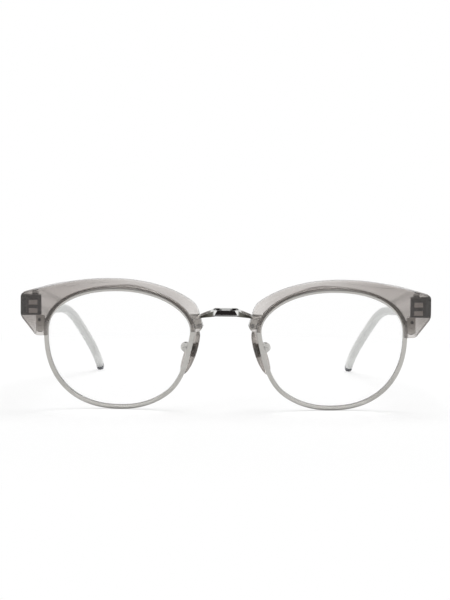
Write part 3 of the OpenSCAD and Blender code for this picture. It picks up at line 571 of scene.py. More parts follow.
def frosted_acetate(finish):
    """Cellulose acetate, milled and tumbled matt: milky, and dim shapes show through it."""
    made, tree = surface("cellulose_acetate_tumbled_matt")
    # Clouds 9 mm wide, as the dye settles in the sheet
    thin = grain(tree, finish.brow, 9 * MM, 0.04)
    thick = grain(tree, finish.brow_thick, 9 * MM, 0.04)
    # The moulding grows thicker, and so darker, from the nose to the temple. It is also kept paler at
    # its foot and darkens upwards over 6 mm: painted light, as from the table below it.
    where = node(tree, "ShaderNodeTexCoord")
    split = node(tree, "ShaderNodeSeparateXYZ", [("Vector", where, "Object")])
    across = node(tree, "ShaderNodeMath", [(0, split, "X")], operation="ABSOLUTE")
    at_nose = node(tree, "ShaderNodeMapRange", [("Value", across, "Value")],
                   in_From_Min=12 * MM, in_From_Max=17 * MM, in_To_Max=0.34)
    at_end = node(tree, "ShaderNodeMapRange", [("Value", across, "Value")],
                  interpolation_type="SMOOTHSTEP",
                  in_From_Min=28 * MM, in_From_Max=58 * MM, in_To_Max=0.66)
    outward = node(tree, "ShaderNodeMath", [(0, at_nose, "Result"), (1, at_end, "Result")],
                   operation="ADD")
    plan = plan_of(bpy.context)
    foot = plan.eye_point(Vector((plan.half_open, 0, plan.FOOT))).z
    above_painted_foot_light = node(tree, "ShaderNodeMapRange", [("Value", split, "Z")],
                  interpolation_type="SMOOTHSTEP", in_From_Min=foot, in_From_Max=foot + 6 * MM)
    depth = node(tree, "ShaderNodeMath", [(0, outward, "Value"), (1, above_painted_foot_light, "Result")],
                 operation="MULTIPLY")
    tone = node(tree, "ShaderNodeMix", [("Factor", depth, "Value"), (COLOUR_A, thin, COLOUR_OUT),
                                        (COLOUR_B, thick, COLOUR_OUT)], data_type="RGBA")
    # Tumbling leaves a grit near 0.05 mm, drawn at 0.5 mm so that it shows
    coat(tree, tone, (0.5 * MM, 0.004 * MM), in_Roughness=0.18, in_IOR=ACETATE_IOR,
         in_Transmission_Weight=0.94)
    return made


def stamped_hinge(finish):
    """Stamped nickel silver, darkened with painted shade, with a painted highlight on the anchors' front
    faces.
    """
    plan = plan_of(bpy.context)
    made, tree = surface("nickel_silver_stamped_painted_shade_and_highlight")
    dark = grain(tree, finish.hinge, 3 * MM, 0.12)
    bright = grain(tree, finish.anchor, 3 * MM, 0.08)
    # Depth behind the front's own plane, less that of the plate's face: the anchors stand before it, and
    # their faces get the painted highlight while the rest keeps the painted shade
    back = plan.lean @ Vector((0, 1, 0))
    where = node(tree, "ShaderNodeTexCoord")
    depth = node(tree, "ShaderNodeVectorMath", [("Vector", where, "Object")], operation="DOT_PRODUCT")
    depth.inputs[1].default_value = back
    face = plan.base.dot(back) + plan.seat - plan.PLATE_DEPTH
    front = node(tree, "ShaderNodeMapRange", [("Value", depth, "Value")], in_From_Min=face - 0.3 * MM,
                 in_From_Max=face - 0.1 * MM, in_To_Min=1.0, in_To_Max=0.0)
    tone = node(tree, "ShaderNodeMix", [("Factor", front, "Result"), (COLOUR_A, dark, COLOUR_OUT),
                                        (COLOUR_B, bright, COLOUR_OUT)], data_type="RGBA")
    coat(tree, tone, (0.3 * MM, 0.006 * MM), in_Roughness=0.4, in_Metallic=1.0)
    return made


def clear_resin(finish):
    """Optical resin, cast and polished: clear and colourless."""
    made, tree = surface("optical_resin_cast")
    tone = grain(tree, finish.lens, 20 * MM, 0.004)
    glass = node(tree, "ShaderNodeBsdfPrincipled", [("Base Color", tone, COLOUR_OUT)],
                 in_Roughness=0.0, in_IOR=RESIN_IOR, in_Transmission_Weight=1.0)
    clear = node(tree, "ShaderNodeBsdfTransparent")
    # Light goes straight through to what is behind, instead of leaving a dark shadow
    path = node(tree, "ShaderNodeLightPath")
    both = node(tree, "ShaderNodeMixShader",
                [("Fac", path, "Is Shadow Ray"), (1, glass, "BSDF"), (2, clear, "BSDF")])
    node(tree, "ShaderNodeOutputMaterial", [("Surface", both, "Shader")])
    return made


# Reliefs as (size, height): cutter marks, and the grit of plating
CUTTER_MARKS, FINE_GRIT = (0.3 * MM, 0.01 * MM), (0.3 * MM, 0.004 * MM)

MAKERS = {
    "brow": frosted_acetate,
    # The same acetate where the cutter left it rough, darkened with painted shade: the shade between the
    # brow's lip and the rim
    "brow_channel_shade": lambda f: acetate(
        "cellulose_acetate_channel_shade", f.brow_channel_shade, (4 * MM, 0.06), CUTTER_MARKS, 0.5, 0.25),
    # Milled too, on the outer wall of the end piece, and darkened there with painted shade, where the
    # light inside it turns back
    "brow_edge": lambda f: acetate(
        "cellulose_acetate_edge_shade", f.brow_edge, (4 * MM, 0.06), CUTTER_MARKS, 0.5, 0.25),
    # Cut from sheet and polished: pale, a little milky and faintly clouded, with soft gloss
    "temple": lambda f: acetate(
        "cellulose_acetate_polished", f.temple, (7 * MM, 0.03), None, 0.28, 0.35),
    # The sawn end of a long bar, darkened with painted shade: little light reaches it in the gap behind
    # the brow, and what light enters is lost along the bar
    "temple_butt_shade": lambda f: acetate(
        "cellulose_acetate_butt_shade", f.temple_butt_shade, (1.5 * MM, 0.08), CUTTER_MARKS, 0.6),
    # Dark acetate, bonded to the temple and polished with it: deep, glossy
    "temple_end": lambda f: acetate(
        "cellulose_acetate_dark_polished", f.temple_end, (2 * MM, 0.1), None, 0.22),
    # Nickel silver, plated and brushed satin: a pale grey sheen without sharp reflections
    "rim": lambda f: metal("nickel_silver_satin_plated", f.rim, 0.18, FINE_GRIT),
    # Milled and left bare, with a dull, wide sheen; it is made pale with painted light, for the light
    # that the brow keeps from it
    "lock": lambda f: metal("nickel_silver_milled_painted_light", f.lock, 0.4, (0.5 * MM, 0.004 * MM)),
    # Buffed on a wheel: bright edges that catch the light
    "bridge": lambda f: metal("nickel_silver_buffed", f.bridge, 0.16, (0.5 * MM, 0.002 * MM)),
    # Blackened in the sunk panels, where the buffing wheel doesn't reach
    "bridge_dark": lambda f: metal("nickel_silver_blackened", f.bridge_dark, 0.3, FINE_GRIT),
    # The same black, half rubbed off towards the ends
    "bridge_rubbed": lambda f: metal(
        "nickel_silver_rubbed", f.bridge_rubbed, 0.34, (0.3 * MM, 0.006 * MM), 0.1),
    "hinge": stamped_hinge,
    # Turned steel: fine marks that spread the light across the head
    "screw": lambda f: metal("steel_turned", f.screw, 0.3, (0.2 * MM, 0.004 * MM)),
    # Steel, dark and dull, seen only through the brow
    "screw_dark": lambda f: metal("steel_dark", f.screw_dark, 0.4, (0.2 * MM, 0.004 * MM)),
    # Drawn wire: smooth, its grain too fine to see
    "core": lambda f: metal("steel_wire_drawn", f.screw, 0.35, (0.4 * MM, 0.003 * MM)),
    # Nickel silver, dark brown: a dim sheen behind the silicone
    "insert": lambda f: metal("nickel_silver_dark_brown", f.insert, 0.45, (0.3 * MM, 0.005 * MM)),
    "lens": clear_resin,
    # Silicone, moulded round its insert: clear at heart, greyed by its satin skin
    "pad": lambda f: plain(
        "silicone_moulded", f.pad, (4 * MM, 0.03), (0.4 * MM, 0.004 * MM),
        in_Roughness=0.22, in_IOR=SILICONE_IOR, in_Transmission_Weight=0.85),
}
FINISHED = {}


def finish_of(key):
    """The finished material for a kind of piece, made once."""
    if key not in FINISHED:
        FINISHED[key] = MAKERS[key](bpy.context.scene.eyeglasses.finish)
    return FINISHED[key]


def plan_of(context):
    """The lines that follow from the sizes as they stand."""
    return Plan(context.scene.eyeglasses)


# Pieces

class EYEGLASSES_OT_rims(bpy.types.Operator):
    """Shape the two grooved eyewires"""

    bl_idname = "eyeglasses.rims"
    bl_label = "Rims"

    def execute(self, context):
        plan = plan_of(context)
        f = plan.front
        w, d, mid = f.rim_width, f.rim_depth, f.rim_depth / 2
        lip, groove = 0.3 * MM, f.lens_thickness / 2 - plan.EDGE_FLAT
        profile = soften(
            [Vector(p) for p in ((f.lens_bevel + 0.02 * MM, mid), (0, mid + groove), (0, d), (w, d),
                                 (w, 0), (0, 0), (0, mid - groove))],
            [0.03 * MM, 0.05 * MM, lip, f.rim_rounding, f.rim_rounding, lip, 0.05 * MM])
        # The saw cut where the rim opens, level across the rim, and its walls' angles
        level, half_cut = 2.2 * MM, 0.075 * MM
        upper, lower = 0.09, 0.08
        rings = []
        for step in steps(0, 1, 241):
            ring = []
            for grow, depth in profile:
                first = math.asin((level + half_cut) / plan.radius(upper, grow))
                last = math.asin((level - half_cut) / plan.radius(lower, grow)) + 2 * math.pi
                angle = mix(first, last, step)
                ring.append(plan.eye_point(plan.at(angle, plan.radius(angle, grow), depth)))
            rings.append(ring)
        for side, sign in SIDES:
            rim = new_object(f"eyewire_{side}", skin(rings), sign)
            dress(rim, "front", "rim_metal", f"rim_{side}", "rim")
        return {"FINISHED"}


class EYEGLASSES_OT_lenses(bpy.types.Operator):
    """Cast the two clear lenses"""

    bl_idname = "eyeglasses.lenses"
    bl_label = "Lenses"

    def execute(self, context):
        plan = plan_of(context)
        f = plan.front
        mid, half = f.rim_depth / 2, f.lens_thickness / 2
        # The lens sits a hair inside the rim's groove
        shy = -0.02 * MM
        bevel = (half - plan.EDGE_FLAT) * 0.9
        shares = steps(0.04, 0.94, 10)
        angles = steps(0, 2 * math.pi, 181)[:-1]
        edge = [(shy, -half), (shy, -bevel), (f.lens_bevel, 0), (shy, bevel), (shy, half)]
        lines = [(k, shy, -half) for k in shares] + [(1, grow, depth) for grow, depth in edge]
        lines += [(k, shy, half) for k in reversed(shares)]
        shape = skin([[plan.eye_point(plan.at(a, k * plan.radius(a, grow), mid + depth))
                       for a in angles] for k, grow, depth in lines])
        for side, sign in SIDES:
            lens = new_object(f"clear_lens_{side}", shape, sign)
            dress(lens, "front", "lens", f"lens_{side}", "lens", sharp=20)
        return {"FINISHED"}


class EYEGLASSES_OT_brows(bpy.types.Operator):
    """Mill the two brows, with the pockets for the lock, hinge and bridge"""

    bl_idname = "eyeglasses.brows"
    bl_label = "Brows"

    # Width of the softened edge away from the bevel, and the play over rim and fittings
    EDGE, FIT = 0.3 * MM, 0.1 * MM
    # Length over which the back goes from the rim's curve to the end piece's flat seat
    RAMP = 7.5 * MM
    # Rounding of the end piece's corners, and of its foot
    CORNER, FOOT_CORNER = 1.3 * MM, 0.8 * MM

    def outline(self, plan):
        """The brow's outer line from its foot over the crown to the nose, across and up."""
        half, rise = plan.half_open, plan.rise_open
        reach = 4 * MM
        foot = Vector((half + 4.4 * MM, plan.FOOT))
        inner = Vector((half + 0.25 * MM, plan.FOOT))
        pull = Vector((-9, 2.4)) * MM
        start = plan.end_top + pull.normalized() * self.CORNER
        crown = Vector((2 * MM, rise + 4.2 * MM))
        shoulder = Vector((-half - reach * 0.21, rise * 0.74))
        tip = Vector((-half - reach, rise * 0.2))
        nose = Vector((-half - reach * 0.775, rise * 0.1))
        low, top = plan.end_low, plan.end_top
        line = corner(inner, foot, low, self.FOOT_CORNER, 7)
        line += steps(line[-1], low + (foot - low).normalized() * self.CORNER, 10)[1:-1]
        line += corner(foot, low, top, self.CORNER, 8)
        line += steps(line[-1], top - Vector((0, self.CORNER)), 10)[1:-1]
        line += corner(low, top, start, self.CORNER, 9)
        line += cubic(start, top + pull, crown + Vector((14, 0)) * MM, crown, 44)
        line += cubic(crown, crown + Vector((-12, 0)) * MM,
                      shoulder + Vector((5.5, 4.6)) * MM, shoulder, 40)
        line += cubic(shoulder, shoulder + Vector((-1.6, -1.7)) * MM,
                      tip + Vector((0.9, 3)) * MM, tip, 20)
        line += corner(tip, nose, nose * 0.9, self.FOOT_CORNER, 7)
        return line

    def section(self, plan, p):
        """The brow's section at a point of its outline, with its lip over the rim."""
        f = plan.front
        a, outer = math.atan2(p.y, p.x), p.length
        degrees = math.degrees(a)
        # The bevel grows above the end piece and is gone at the nose
        bevel = mix(self.EDGE, f.brow_bevel,
                    ease((degrees - 22) / 40) * (1 - ease((degrees - 156) / 10)))
        # The lip leaves more of the rim free at the top than at the sides
        lip = plan.radius(a, mix(0.25 * MM, 1.4 * MM, max(0, math.sin(a)) ** 0.6))
        channel = plan.radius(a, f.rim_width + self.FIT)

        def back(radius):
            u, w = radius * math.cos(a), radius * math.sin(a)
            ramp = ease(1 + (u - plan.half_open) / self.RAMP)
            seat = (plan.seat - u * math.sin(f.wrap)) / math.cos(f.wrap)
            return Vector((u, mix(plan.sag(u, w) + f.rim_depth - self.FIT, seat, ramp), w))

        points = [
            plan.at(a, lip, -self.FIT), plan.at(a, channel, -self.FIT), back(channel), back(outer),
            plan.at(a, outer, -f.brow_lip + bevel * 0.7), plan.at(a, outer - bevel, -f.brow_lip),
            plan.at(a, lip, -f.brow_lip)]
        crisp, eased, soft = 0.04 * MM, 0.35 * MM, 0.55 * MM
        radii = [crisp, crisp, crisp, eased, soft, soft, eased]
        return [plan.eye_point(q) for q in soften(points, radii)]

    def cutters(self, plan, sign):
        """What is milled out: the lock's pocket, the hinge plate's seat and the bridge's notch."""
        half, lock_u = plan.half_open, plan.half_open + plan.front.rim_width
        # Round the lock, with play, and open to the back
        lock_front = plan.sag(lock_u + 1.25 * MM, 2.2 * MM) + 0.3 * MM
        pocket = block((lock_u - 0.4 * MM, lock_front - 0.15 * MM, -1.85 * MM),
                       (lock_u + 2.65 * MM, lock_front + 2 * MM + plan.seat, 6.15 * MM), plan.eye_point)
        across, tall = plan.PLATE_HALF - HAIR, plan.PLATE_HALF_HEIGHT - HAIR
        floor = plan.seat - plan.PLATE_DEPTH + HAIR
        seat = block((plan.plate_x - across, floor, plan.hinge_v - tall),
                     (plan.plate_x + across, plan.seat + MM, plan.hinge_v + tall), plan.in_front)
        end_v = plan.eye_v + plan.bridge.rise - plan.bridge.sag
        tall = plan.bridge.end_height / 2 + self.FIT * 1.5
        notch = block((plan.neck - MM, 0.45 * MM, end_v - tall),
                      (plan.eye_x - half + plan.front.rim_width, plan.seat, end_v + tall), plan.in_front)
        return [new_object(f"cutter_{i}", shape, sign) for i, shape in enumerate((pocket, seat, notch))]

    def finish_at(self, plan, face, sign):
        """Which finish a face has: 0 tumbled, 1 milled, darkened with painted shade, 2 the edge of the
        end piece, darkened with painted shade.
        """
        p = plan.to_eye(Vector((face.center.x * sign, face.center.y, face.center.z)))
        a, r = math.atan2(p.z, p.x), math.hypot(p.x, p.z)
        depth = p.y - plan.sag(p.x, p.z)
        channel = plan.radius(a, plan.front.rim_width + self.FIT)
        if r < channel + 0.06 * MM and depth > -1.2 * MM and p.z > 4 * MM:
            return 1
        facing = plan.to_eye(face.normal, turn_only=True)
        if p.x > plan.half_open + plan.END_REACH / 2 and abs(facing.y) < 0.5:
            return 2
        return 0

    def execute(self, context):
        plan = plan_of(context)
        shape = skin([self.section(plan, p) for p in self.outline(plan)])
        for side, sign in SIDES:
            brow = new_object(f"brow_moulding_{side}", shape, sign)
            cut(brow, self.cutters(plan, sign))
            dress(brow, "front", "brow_plastic", f"brow_{side}", "brow", "brow_channel_shade", "brow_edge")
            # The channel and the end piece's outer wall take the finishes with painted shade
            for face in brow.data.polygons:
                face.material_index = self.finish_at(plan, face, sign)
        return {"FINISHED"}


class EYEGLASSES_OT_bridge(bpy.types.Operator):
    """Form the faceted bridge with its sunk, blackened panels"""

    bl_idname = "eyeglasses.bridge"
    bl_label = "Bridge"

    # Half the length of the flat middle, and the height of the facet above the front
    FLAT, FACET = 3.7 * MM, 0.68 * MM

    def line(self, plan, x):
        """The bar's front, its middle height and half its height at a place across."""
        b = plan.bridge
        k = min(1, max(0, (abs(x) - self.FLAT) / (plan.neck - self.FLAT)))
        return (mix(-b.bow, 0.6 * MM, ease(k)), plan.eye_v + b.rise - b.sag * k,
                mix(b.height, b.end_height, k) / 2)

    def ring(self, plan, x):
        """The bar's section: a broad facet above its front face and a narrower one below."""
        d, v, h = self.line(plan, x)
        t = plan.bridge.thickness
        back = 0.35 * MM
        corners = ((0.28 * MM, -h), (0, 0.42 * MM - h), (0, h - self.FACET),
                   (0.24 * MM, h - self.FACET / 2), (0.5 * MM, h), (t - back, h), (t, h - back),
                   (t, back - h), (t - back, -h))
        return [plan.in_front(Vector((x, d + y, v + z))) for y, z in corners]

    def cutters(self, plan):
        """The middle panel, and a panel at each side that runs out at the bottom."""
        b = plan.bridge
        below_facet = self.FACET + 0.03 * MM
        d, v, h = self.line(plan, 0)
        low, high = v - h + b.border, v + h - below_facet
        outline = ((-3.9 * MM, low), (3.9 * MM, low), (3 * MM, high), (-3 * MM, high))
        made = [new_object("cutter_middle", prism(outline, d - MM, d + b.panel_depth, plan.in_front))]
        rings = []
        for x in steps(4.5 * MM, 8.5 * MM, 17):
            d, v, h = self.line(plan, x)
            bottom, top, floor = v - h - MM, v + h - below_facet, d + b.panel_depth
            rings.append([plan.in_front(Vector((x, y, z))) for y, z in (
                (d - MM, bottom), (d - MM, top), (floor, top), (floor, bottom))])
        return made + [new_object("cutter_side", skin(rings), sign) for _, sign in SIDES]

    def finish_at(self, plan, face):
        """Which finish a face has: 0 buffed, 1 black, as blackened in the middle panel, 2 blackened and
        half rubbed off, as in the side panels.
        """
        local = plan.to_front(face.center)
        x = abs(local.x)
        d, v, h = self.line(plan, x)
        drop, depth = v + h - local.z, local.y - d
        # The part inside the brow
        if x > plan.neck + 0.3 * MM:
            return 0
        # The floors of the panels
        if face.normal.y < -0.3 and depth > 0.1 * MM and drop > self.FACET:
            return 1 if x < 4.2 * MM else 2
        # A stripe that crosses the upper facet's two faces aslant, given the middle panel's black
        if drop < self.FACET and face.normal.z > 0.2 and depth < 0.6 * MM:
            start, end = (2.1, 4.3) if drop < self.FACET / 2 else (1.4, 3.5)
            return 1 if start * MM < x < end * MM else 0
        # The lower half beside the panels
        return 2 if x > 4.3 * MM and drop > h and face.normal.z < 0.9 else 0

    def execute(self, context):
        plan = plan_of(context)
        reach = plan.eye_x - plan.half_open + plan.front.rim_width - 0.8 * MM
        shape = skin([self.ring(plan, x) for x in steps(-reach, reach, 121)])
        bridge = new_object("bridge_bar", shape)
        cut(bridge, self.cutters(plan))
        dress(bridge, "front", "bridge_metal", "bridge", "bridge", "bridge_dark", "bridge_rubbed",
              sharp=12)
        for face in bridge.data.polygons:
            face.material_index = self.finish_at(plan, face)
        return {"FINISHED"}


class EYEGLASSES_OT_pad_arms(bpy.types.Operator):
    """Bend the wire arms and set the boxes that hold the nose pads"""

    bl_idname = "eyeglasses.pad_arms"
    bl_label = "Pad arms"

    def wire(self, path, radius, sides=14):
        """Round wire along a path of points."""
        rings = []
        for i, point in enumerate(path):
            way = path[min(i + 1, len(path) - 1)] - path[max(i - 1, 0)]
            across = way.cross(Vector((0, 0, 1))).normalized()
            up = across.cross(way).normalized()
            rings.append([point + radius * (math.cos(a) * across + math.sin(a) * up)
                          for a in steps(0, 2 * math.pi, sides + 1)[:-1]])
        return skin(rings)

    def round_end(self, cut_at):
        """The part of the box's round outline that lies beyond a place across."""
        # The outline's radius, and its middle's place across from the pivot
        r, middle = 1.8 * MM, -0.25 * MM
        reach = math.acos((cut_at - middle) / r)
        return [(middle + r * math.cos(a), r * math.sin(a)) for a in steps(-reach, reach, 25)]

    def execute(self, context):
        plan = plan_of(context)
        # The wire's foot is soldered to the rim's back, just below the widest line at the nose
        a = math.radians(188)
        r = plan.radius(a, plan.front.rim_width * 0.45)
        u, w = r * math.cos(a), r * math.sin(a)
        wide, tall, thick = 0.65 * MM, 1.2 * MM, 0.8 * MM
        foot = block((-wide, 0.01 * MM, -tall), (wide, thick, tall),
                     lambda p: plan.eye_point(plan.on_back(p, u, w)))
        start = plan.in_eye(Vector((u, plan.sag(u, w) + plan.front.rim_depth + thick / 2, w)))
        end = plan.to_front(plan.pad_point(Vector((1.25 * MM, 0, 0))))
        path = [start] + cubic(start, start + Vector((1, 1.6, 0)) * MM,
                               end + Vector((0.6, -1.8, 0)) * MM, end, 28)
        # The box is round, open towards the pad, with a cheek on each side of the pad's post
        out, cheek = 0.93 * MM, 0.5 * MM
        disc = self.round_end(-0.8 * MM)
        wall = prism(self.round_end(0.95 * MM), -out, out, plan.pad_point)
        cheeks = [prism(disc, y, y + cheek, plan.pad_point) for y in (-out, out - cheek)]
        shape = joined(foot, self.wire([plan.in_front(p) for p in path], plan.pad.wire), wall, *cheeks)
        for side, sign in SIDES:
            arm = new_object(f"pad_arm_wire_{side}", shape, sign)
            wear(arm, 0.12 * MM, 3)
            dress(arm, "front", "rim_metal", f"pad_arm_{side}", "rim")
        return {"FINISHED"}


class EYEGLASSES_OT_nose_pads(bpy.types.Operator):
    """Mould the two silicone nose pads"""

    bl_idname = "eyeglasses.nose_pads"
    bl_label = "Nose pads"

    def execute(self, context):
        plan = plan_of(context)
        p = plan.pad
        # Share of the pad's outline and of its thickness, from the flat back over the crown
        layers = [(0.6, 0), (0.84, 0), (0.92, 0.05), (0.98, 0.16), (1, 0.34), (0.975, 0.5),
                  (0.91, 0.65), (0.8, 0.79), (0.64, 0.89), (0.42, 0.965), (0.2, 0.992)]
        # The back's distance from the pivot, the middle's drop below it, and how much the
        # outline narrows to its top
        post, drop, taper = 1.7 * MM, 1.4 * MM, 0.12
        rings = [[plan.pad_point(Vector((
            -post - p.thickness * depth,
            share * p.width / 2 * math.cos(a) * (1 - taper * math.sin(a)),
            share * p.length / 2 * math.sin(a) - drop)))
            for a in steps(0, 2 * math.pi, 65)[:-1]] for share, depth in layers]
        for side, sign in SIDES:
            pad = new_object(f"silicone_pad_{side}", skin(rings), sign)
            dress(pad, f"nose_pad_{side}", "pad_silicone", f"nose_pad_{side}", "pad", sharp=60)
        return {"FINISHED"}


class EYEGLASSES_OT_temples(bpy.types.Operator):
    """Shape the two temples and the dark blocks at their ends"""

    bl_idname = "eyeglasses.temples"
    bl_label = "Temples"

    # Rounding of the long edges, and width of the fine edge round the butt
    ROUNDING, BUTT_EDGE = 1.15 * MM, 0.12 * MM
    # The hinge leaf let into the temple: its start and end along it, half its height, its depth
    LEAF_START, LEAF_END, LEAF_HALF, LEAF_DEPTH = 0.5 * MM, 10 * MM, 2.6 * MM, 0.9 * MM

    def execute(self, context):
        plan = plan_of(context)
        t = plan.temple
        body_end = plan.length - t.end_block
        # Closer together round the bend, and a fine edge at the butt
        places = [0, 0.25 * MM] + steps(0.9 * MM, t.straight, 46)
        places += steps(t.straight, t.straight + plan.arc, 26)[1:]
        places += steps(t.straight + plan.arc, body_end, 22)[1:]
        rings = [plan.temple_ring(s, 0 if s else self.BUTT_EDGE, self.ROUNDING) for s in places]
        end_places = [(body_end, 0), (body_end + 0.5 * MM, 0)]
        for k in steps(0, math.pi / 2, 10):
            end_places.append((plan.length - plan.END_ROUND * (1 - math.sin(k)),
                               plan.END_ROUND * (1 - math.cos(k))))
        end_rings = [plan.temple_ring(s, shrink, self.ROUNDING) for s, shrink in end_places]
        inner, tall = -t.thickness / 2, self.LEAF_HALF - HAIR
        tilt = Matrix.Rotation(-t.drop, 3, "X")
        start = Vector((plan.temple_x, plan.temple_start, plan.hinge_v))
        leaf = block((inner - MM, self.LEAF_START + HAIR, -tall),
                     (inner + self.LEAF_DEPTH - HAIR, self.LEAF_END - HAIR, tall),
                     lambda p: plan.in_front(tilt @ p + start))
        # The butt is sawn square to the front, so its faces lie in one plane
        square = plan.base + plan.lean @ Vector((0, plan.temple_start, 0))
        back = plan.lean @ Vector((0, 1, 0))
        for side, sign in SIDES:
            temple = new_object(f"temple_bar_{side}", skin(rings), sign)
            cut(temple, [new_object("cutter_leaf", leaf, sign)])
            dress(temple, f"temple_{side}", "temple_plastic", f"temple_{side}", "temple",
                  "temple_butt_shade")
            # The butt's faces take the darker finish, which is painted shade
            for face in temple.data.polygons:
                face.material_index = int((face.center - square).dot(back) < 0.05 * MM)
            end = new_object(f"temple_tip_block_{side}", skin(end_rings), sign)
            dress(end, f"temple_{side}", "end_plastic", f"temple_end_{side}", "temple_end")
        return {"FINISHED"}


class EYEGLASSES_OT_hardware(bpy.types.Operator):
    """Finish the locks, tabs, screws, hinges, inserts and core wires of the CAD frame"""

    bl_idname = "eyeglasses.hardware"
    bl_label = "Hardware"

    # Kind of CAD node, and its finish
    KINDS = {
        # The lock finish on the locks and tabs is made pale with painted light
        "rim_lock_upper": "lock", "rim_lock_lower": "lock", "brow_tab": "lock",
        # The hinge finish carries painted shade, and a painted highlight on the anchors
        "front_hinge": "hinge", "temple_hinge": "hinge", "pad_insert": "insert",
        "rim_screw": "screw", "brow_screw_outer": "screw_dark", "brow_screw_inner": "screw",
        "pad_screw": "screw", "hinge_screw": "screw", "core_wire": "core",
    }

    def execute(self, context):
        for kind, key in self.KINDS.items():
            for side, _ in SIDES:
                part = frame["nodes"][f"{kind}_{side}"]
                part.data.materials.clear()
                part.data.materials.append(finish_of(key))
                if key != "core":
                    wear(part, 0.06 * MM, 2)
        return {"FINISHED"}


class EYEGLASSES_OT_stage(bpy.types.Operator):
    """Set the white table, the soft light and the camera"""

    bl_idname = "eyeglasses.stage"
    bl_label = "Stage"

    # Half the table's width, the distances from the middle between which it turns pure white,
    # and how far it lies below the rims so that no faces meet
    TABLE_HALF, FADE_START, FADE_END, TABLE_DROP = 2.0, 0.13, 0.24, 0.05 * MM
    # Share of the light that the card sends back, and the part of its white that doesn't
    # depend on the light, so that shadows stay faint
    CARD, GLOW = 0.8, 0.62
    # The studio's light on the glasses, and how grey it is behind the camera in gloss
    LEVEL, GREY = 0.8, 0.42
    # The camera, as fitted to the photograph: its focal length and sensor in millimetres, its
    # place, and its turn, tilt and roll in degrees
    FOCAL, SENSOR = 122.28, 36
    PLACE, TURN, TILT, ROLL = (-0.0023, -0.76493, 0.0856), -0.16, -3.88, 0.45

    def seen(self, tree):
        """1 for rays from the camera, from gloss and through glass, and 0 for the rest."""
        path = node(tree, "ShaderNodeLightPath")
        first = node(tree, "ShaderNodeMath",
                     [(0, path, "Is Camera Ray"), (1, path, "Is Glossy Ray")], operation="MAXIMUM")
        return node(tree, "ShaderNodeMath", [(0, first, "Value"), (1, path, "Is Transmission Ray")],
                    operation="MAXIMUM"), path

    def table(self, context):
        """A wide white card, which keeps the glasses' faint shadows."""
        half = self.TABLE_HALF
        points = [(-half, -half, 0), (half, -half, 0), (half, half, 0), (-half, half, 0)]
        table = new_object("table", (points, [(0, 1, 2, 3)]))
        # Card, white and matt: light spreads evenly from it
        made, tree = surface("card_matt_white")
        seen, path = self.seen(tree)
        base = context.scene.eyeglasses.finish.table
        card, dim = (node(tree, "ShaderNodeBsdfDiffuse", in_Color=(*[share * c for c in base], 1))
                     for share in (self.CARD, self.CARD * (1 - self.GLOW)))
        glow, pure = (node(tree, "ShaderNodeEmission", in_Color=(*base, 1), in_Strength=strength)
                      for strength in (self.GLOW, 1.0))
        pale = node(tree, "ShaderNodeAddShader", [(0, dim, "BSDF"), (1, glow, "Emission")])
        # Metal close to the card shows it with its full shadows
        gloss = node(tree, "ShaderNodeMath",
                     [(0, path, "Is Glossy Ray"), (1, path, "Is Transmission Ray")],
                     operation="SUBTRACT", use_clamp=True)
        near = node(tree, "ShaderNodeMixShader",
                    [("Fac", gloss, "Value"), (1, pale, "Shader"), (2, card, "BSDF")])
        # Beyond the glasses' shadows the card is white by itself
        where = node(tree, "ShaderNodeTexCoord")
        far = node(tree, "ShaderNodeVectorMath", [("Vector", where, "Object")], operation="LENGTH")
        fade = node(tree, "ShaderNodeMapRange", [("Value", far, "Value")],
                    interpolation_type="SMOOTHSTEP", in_From_Min=self.FADE_START,
                    in_From_Max=self.FADE_END)
        white = node(tree, "ShaderNodeMixShader",
                     [("Fac", fade, "Result"), (1, near, "Shader"), (2, pure, "Emission")])
        both = node(tree, "ShaderNodeMixShader",
                    [("Fac", seen, "Value"), (1, card, "BSDF"), (2, white, "Shader")])
        node(tree, "ShaderNodeOutputMaterial", [("Surface", both, "Shader")])
        table.data.materials.append(made)
        table.location.z = -self.TABLE_DROP

    def world(self, context):
        """The studio: white behind the glasses and overhead, greyer behind the camera."""
        world = bpy.data.worlds.new("soft_studio")
        context.scene.world = world
        world.use_nodes = True
        tree = world.node_tree
        tree.nodes.clear()
        seen, path = self.seen(tree)
        where = node(tree, "ShaderNodeTexCoord")
        split = node(tree, "ShaderNodeSeparateXYZ", [("Vector", where, "Generated")])
        shade = node(tree, "ShaderNodeMapRange", [("Value", split, "Y")],
                     interpolation_type="SMOOTHSTEP", in_From_Min=-0.9, in_From_Max=0.25,
                     in_To_Min=self.GREY, in_To_Max=1.0)
        gloss = node(tree, "ShaderNodeMix",
                     [("Factor", path, "Is Glossy Ray"), ("B", shade, "Result")],
                     data_type="FLOAT", in_A=1.0)
        level = node(tree, "ShaderNodeMix", [("Factor", seen, "Value"), ("B", gloss, "Result")],
                     data_type="FLOAT", in_A=self.LEVEL)
        sky = node(tree, "ShaderNodeBackground", [("Strength", level, "Result")],
                   in_Color=(1, 1, 1, 1))
        node(tree, "ShaderNodeOutputWorld", [("Surface", sky, "Background")])

    def lamp(self, context, name, place, aim, width, watts):
        """A round softbox that faces a point and leaves no reflection of its own."""
        light = bpy.data.lights.new(name, "AREA")
        light.shape, light.size, light.energy = "DISK", width, watts
        made = bpy.data.objects.new(name, light)
        context.scene.collection.objects.link(made)
        made.location = place
        made.rotation_euler = (Vector(aim) - Vector(place)).to_track_quat("-Z", "Y").to_euler()
        made.visible_glossy = False

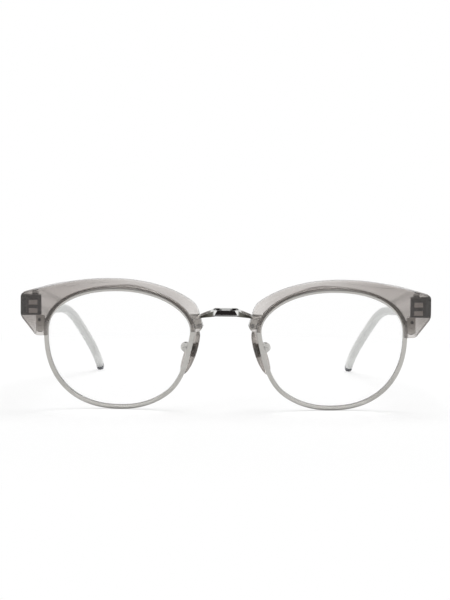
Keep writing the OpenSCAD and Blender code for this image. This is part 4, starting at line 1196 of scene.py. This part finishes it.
    def camera(self, context):
        """The camera, at the photograph's place and angle."""
        lens = bpy.data.cameras.new("camera")
        lens.lens, lens.sensor_width = self.FOCAL, self.SENSOR
        lens.clip_start = 0.01
        made = bpy.data.objects.new("camera", lens)
        context.scene.collection.objects.link(made)
        made.matrix_world = (
            Matrix.Translation(self.PLACE)
            @ Matrix.Rotation(math.radians(self.TURN), 4, "Z")
            @ Matrix.Rotation(math.radians(90 + self.TILT), 4, "X")
            @ Matrix.Rotation(math.radians(self.ROLL), 4, "Z"))
        context.scene.camera = made

    def execute(self, context):
        self.table(context)
        self.world(context)
        self.lamp(context, "overhead_softbox", (0.1, 0.25, 0.7), (0, 0, 0), 0.5, 3.0)
        self.lamp(context, "front_fill", (-0.5, -0.8, 0.5), (0, 0, 0.02), 0.5, 1.5)
        self.camera(context)
        context.scene.view_settings.view_transform = "Standard"
        return {"FINISHED"}


PIECES = (
    EYEGLASSES_OT_rims, EYEGLASSES_OT_lenses, EYEGLASSES_OT_brows, EYEGLASSES_OT_bridge,
    EYEGLASSES_OT_pad_arms, EYEGLASSES_OT_nose_pads, EYEGLASSES_OT_temples,
    EYEGLASSES_OT_hardware, EYEGLASSES_OT_stage,
)


class EYEGLASSES_PT_sidebar(bpy.types.Panel):
    """Lists the sizes, finishes and pieces"""

    bl_label = "Browline Eyeglasses"
    bl_idname = "EYEGLASSES_PT_sidebar"
    bl_space_type = "VIEW_3D"
    bl_region_type = "UI"
    bl_category = "Eyeglasses"

    def draw(self, context):
        sizes = context.scene.eyeglasses
        for group in (sizes.front, sizes.bridge, sizes.temple, sizes.pad, sizes.finish):
            box = self.layout.box()
            for name in group.__annotations__:
                box.prop(group, name)
        for piece in PIECES:
            self.layout.operator(piece.bl_idname)


CLASSES = (FrontSizes, BridgeSizes, TempleSizes, PadSizes, Finishes, Eyeglasses, *PIECES,
           EYEGLASSES_PT_sidebar)


def register():
    for one in CLASSES:
        bpy.utils.register_class(one)
    bpy.types.Scene.eyeglasses = PointerProperty(type=Eyeglasses)


def unregister():
    del bpy.types.Scene.eyeglasses
    for one in reversed(CLASSES):
        bpy.utils.unregister_class(one)


def main():
    register()
    for piece in PIECES:
        group, name = piece.bl_idname.split(".")
        getattr(getattr(bpy.ops, group), name)()


if __name__ == "__main__":
    main()
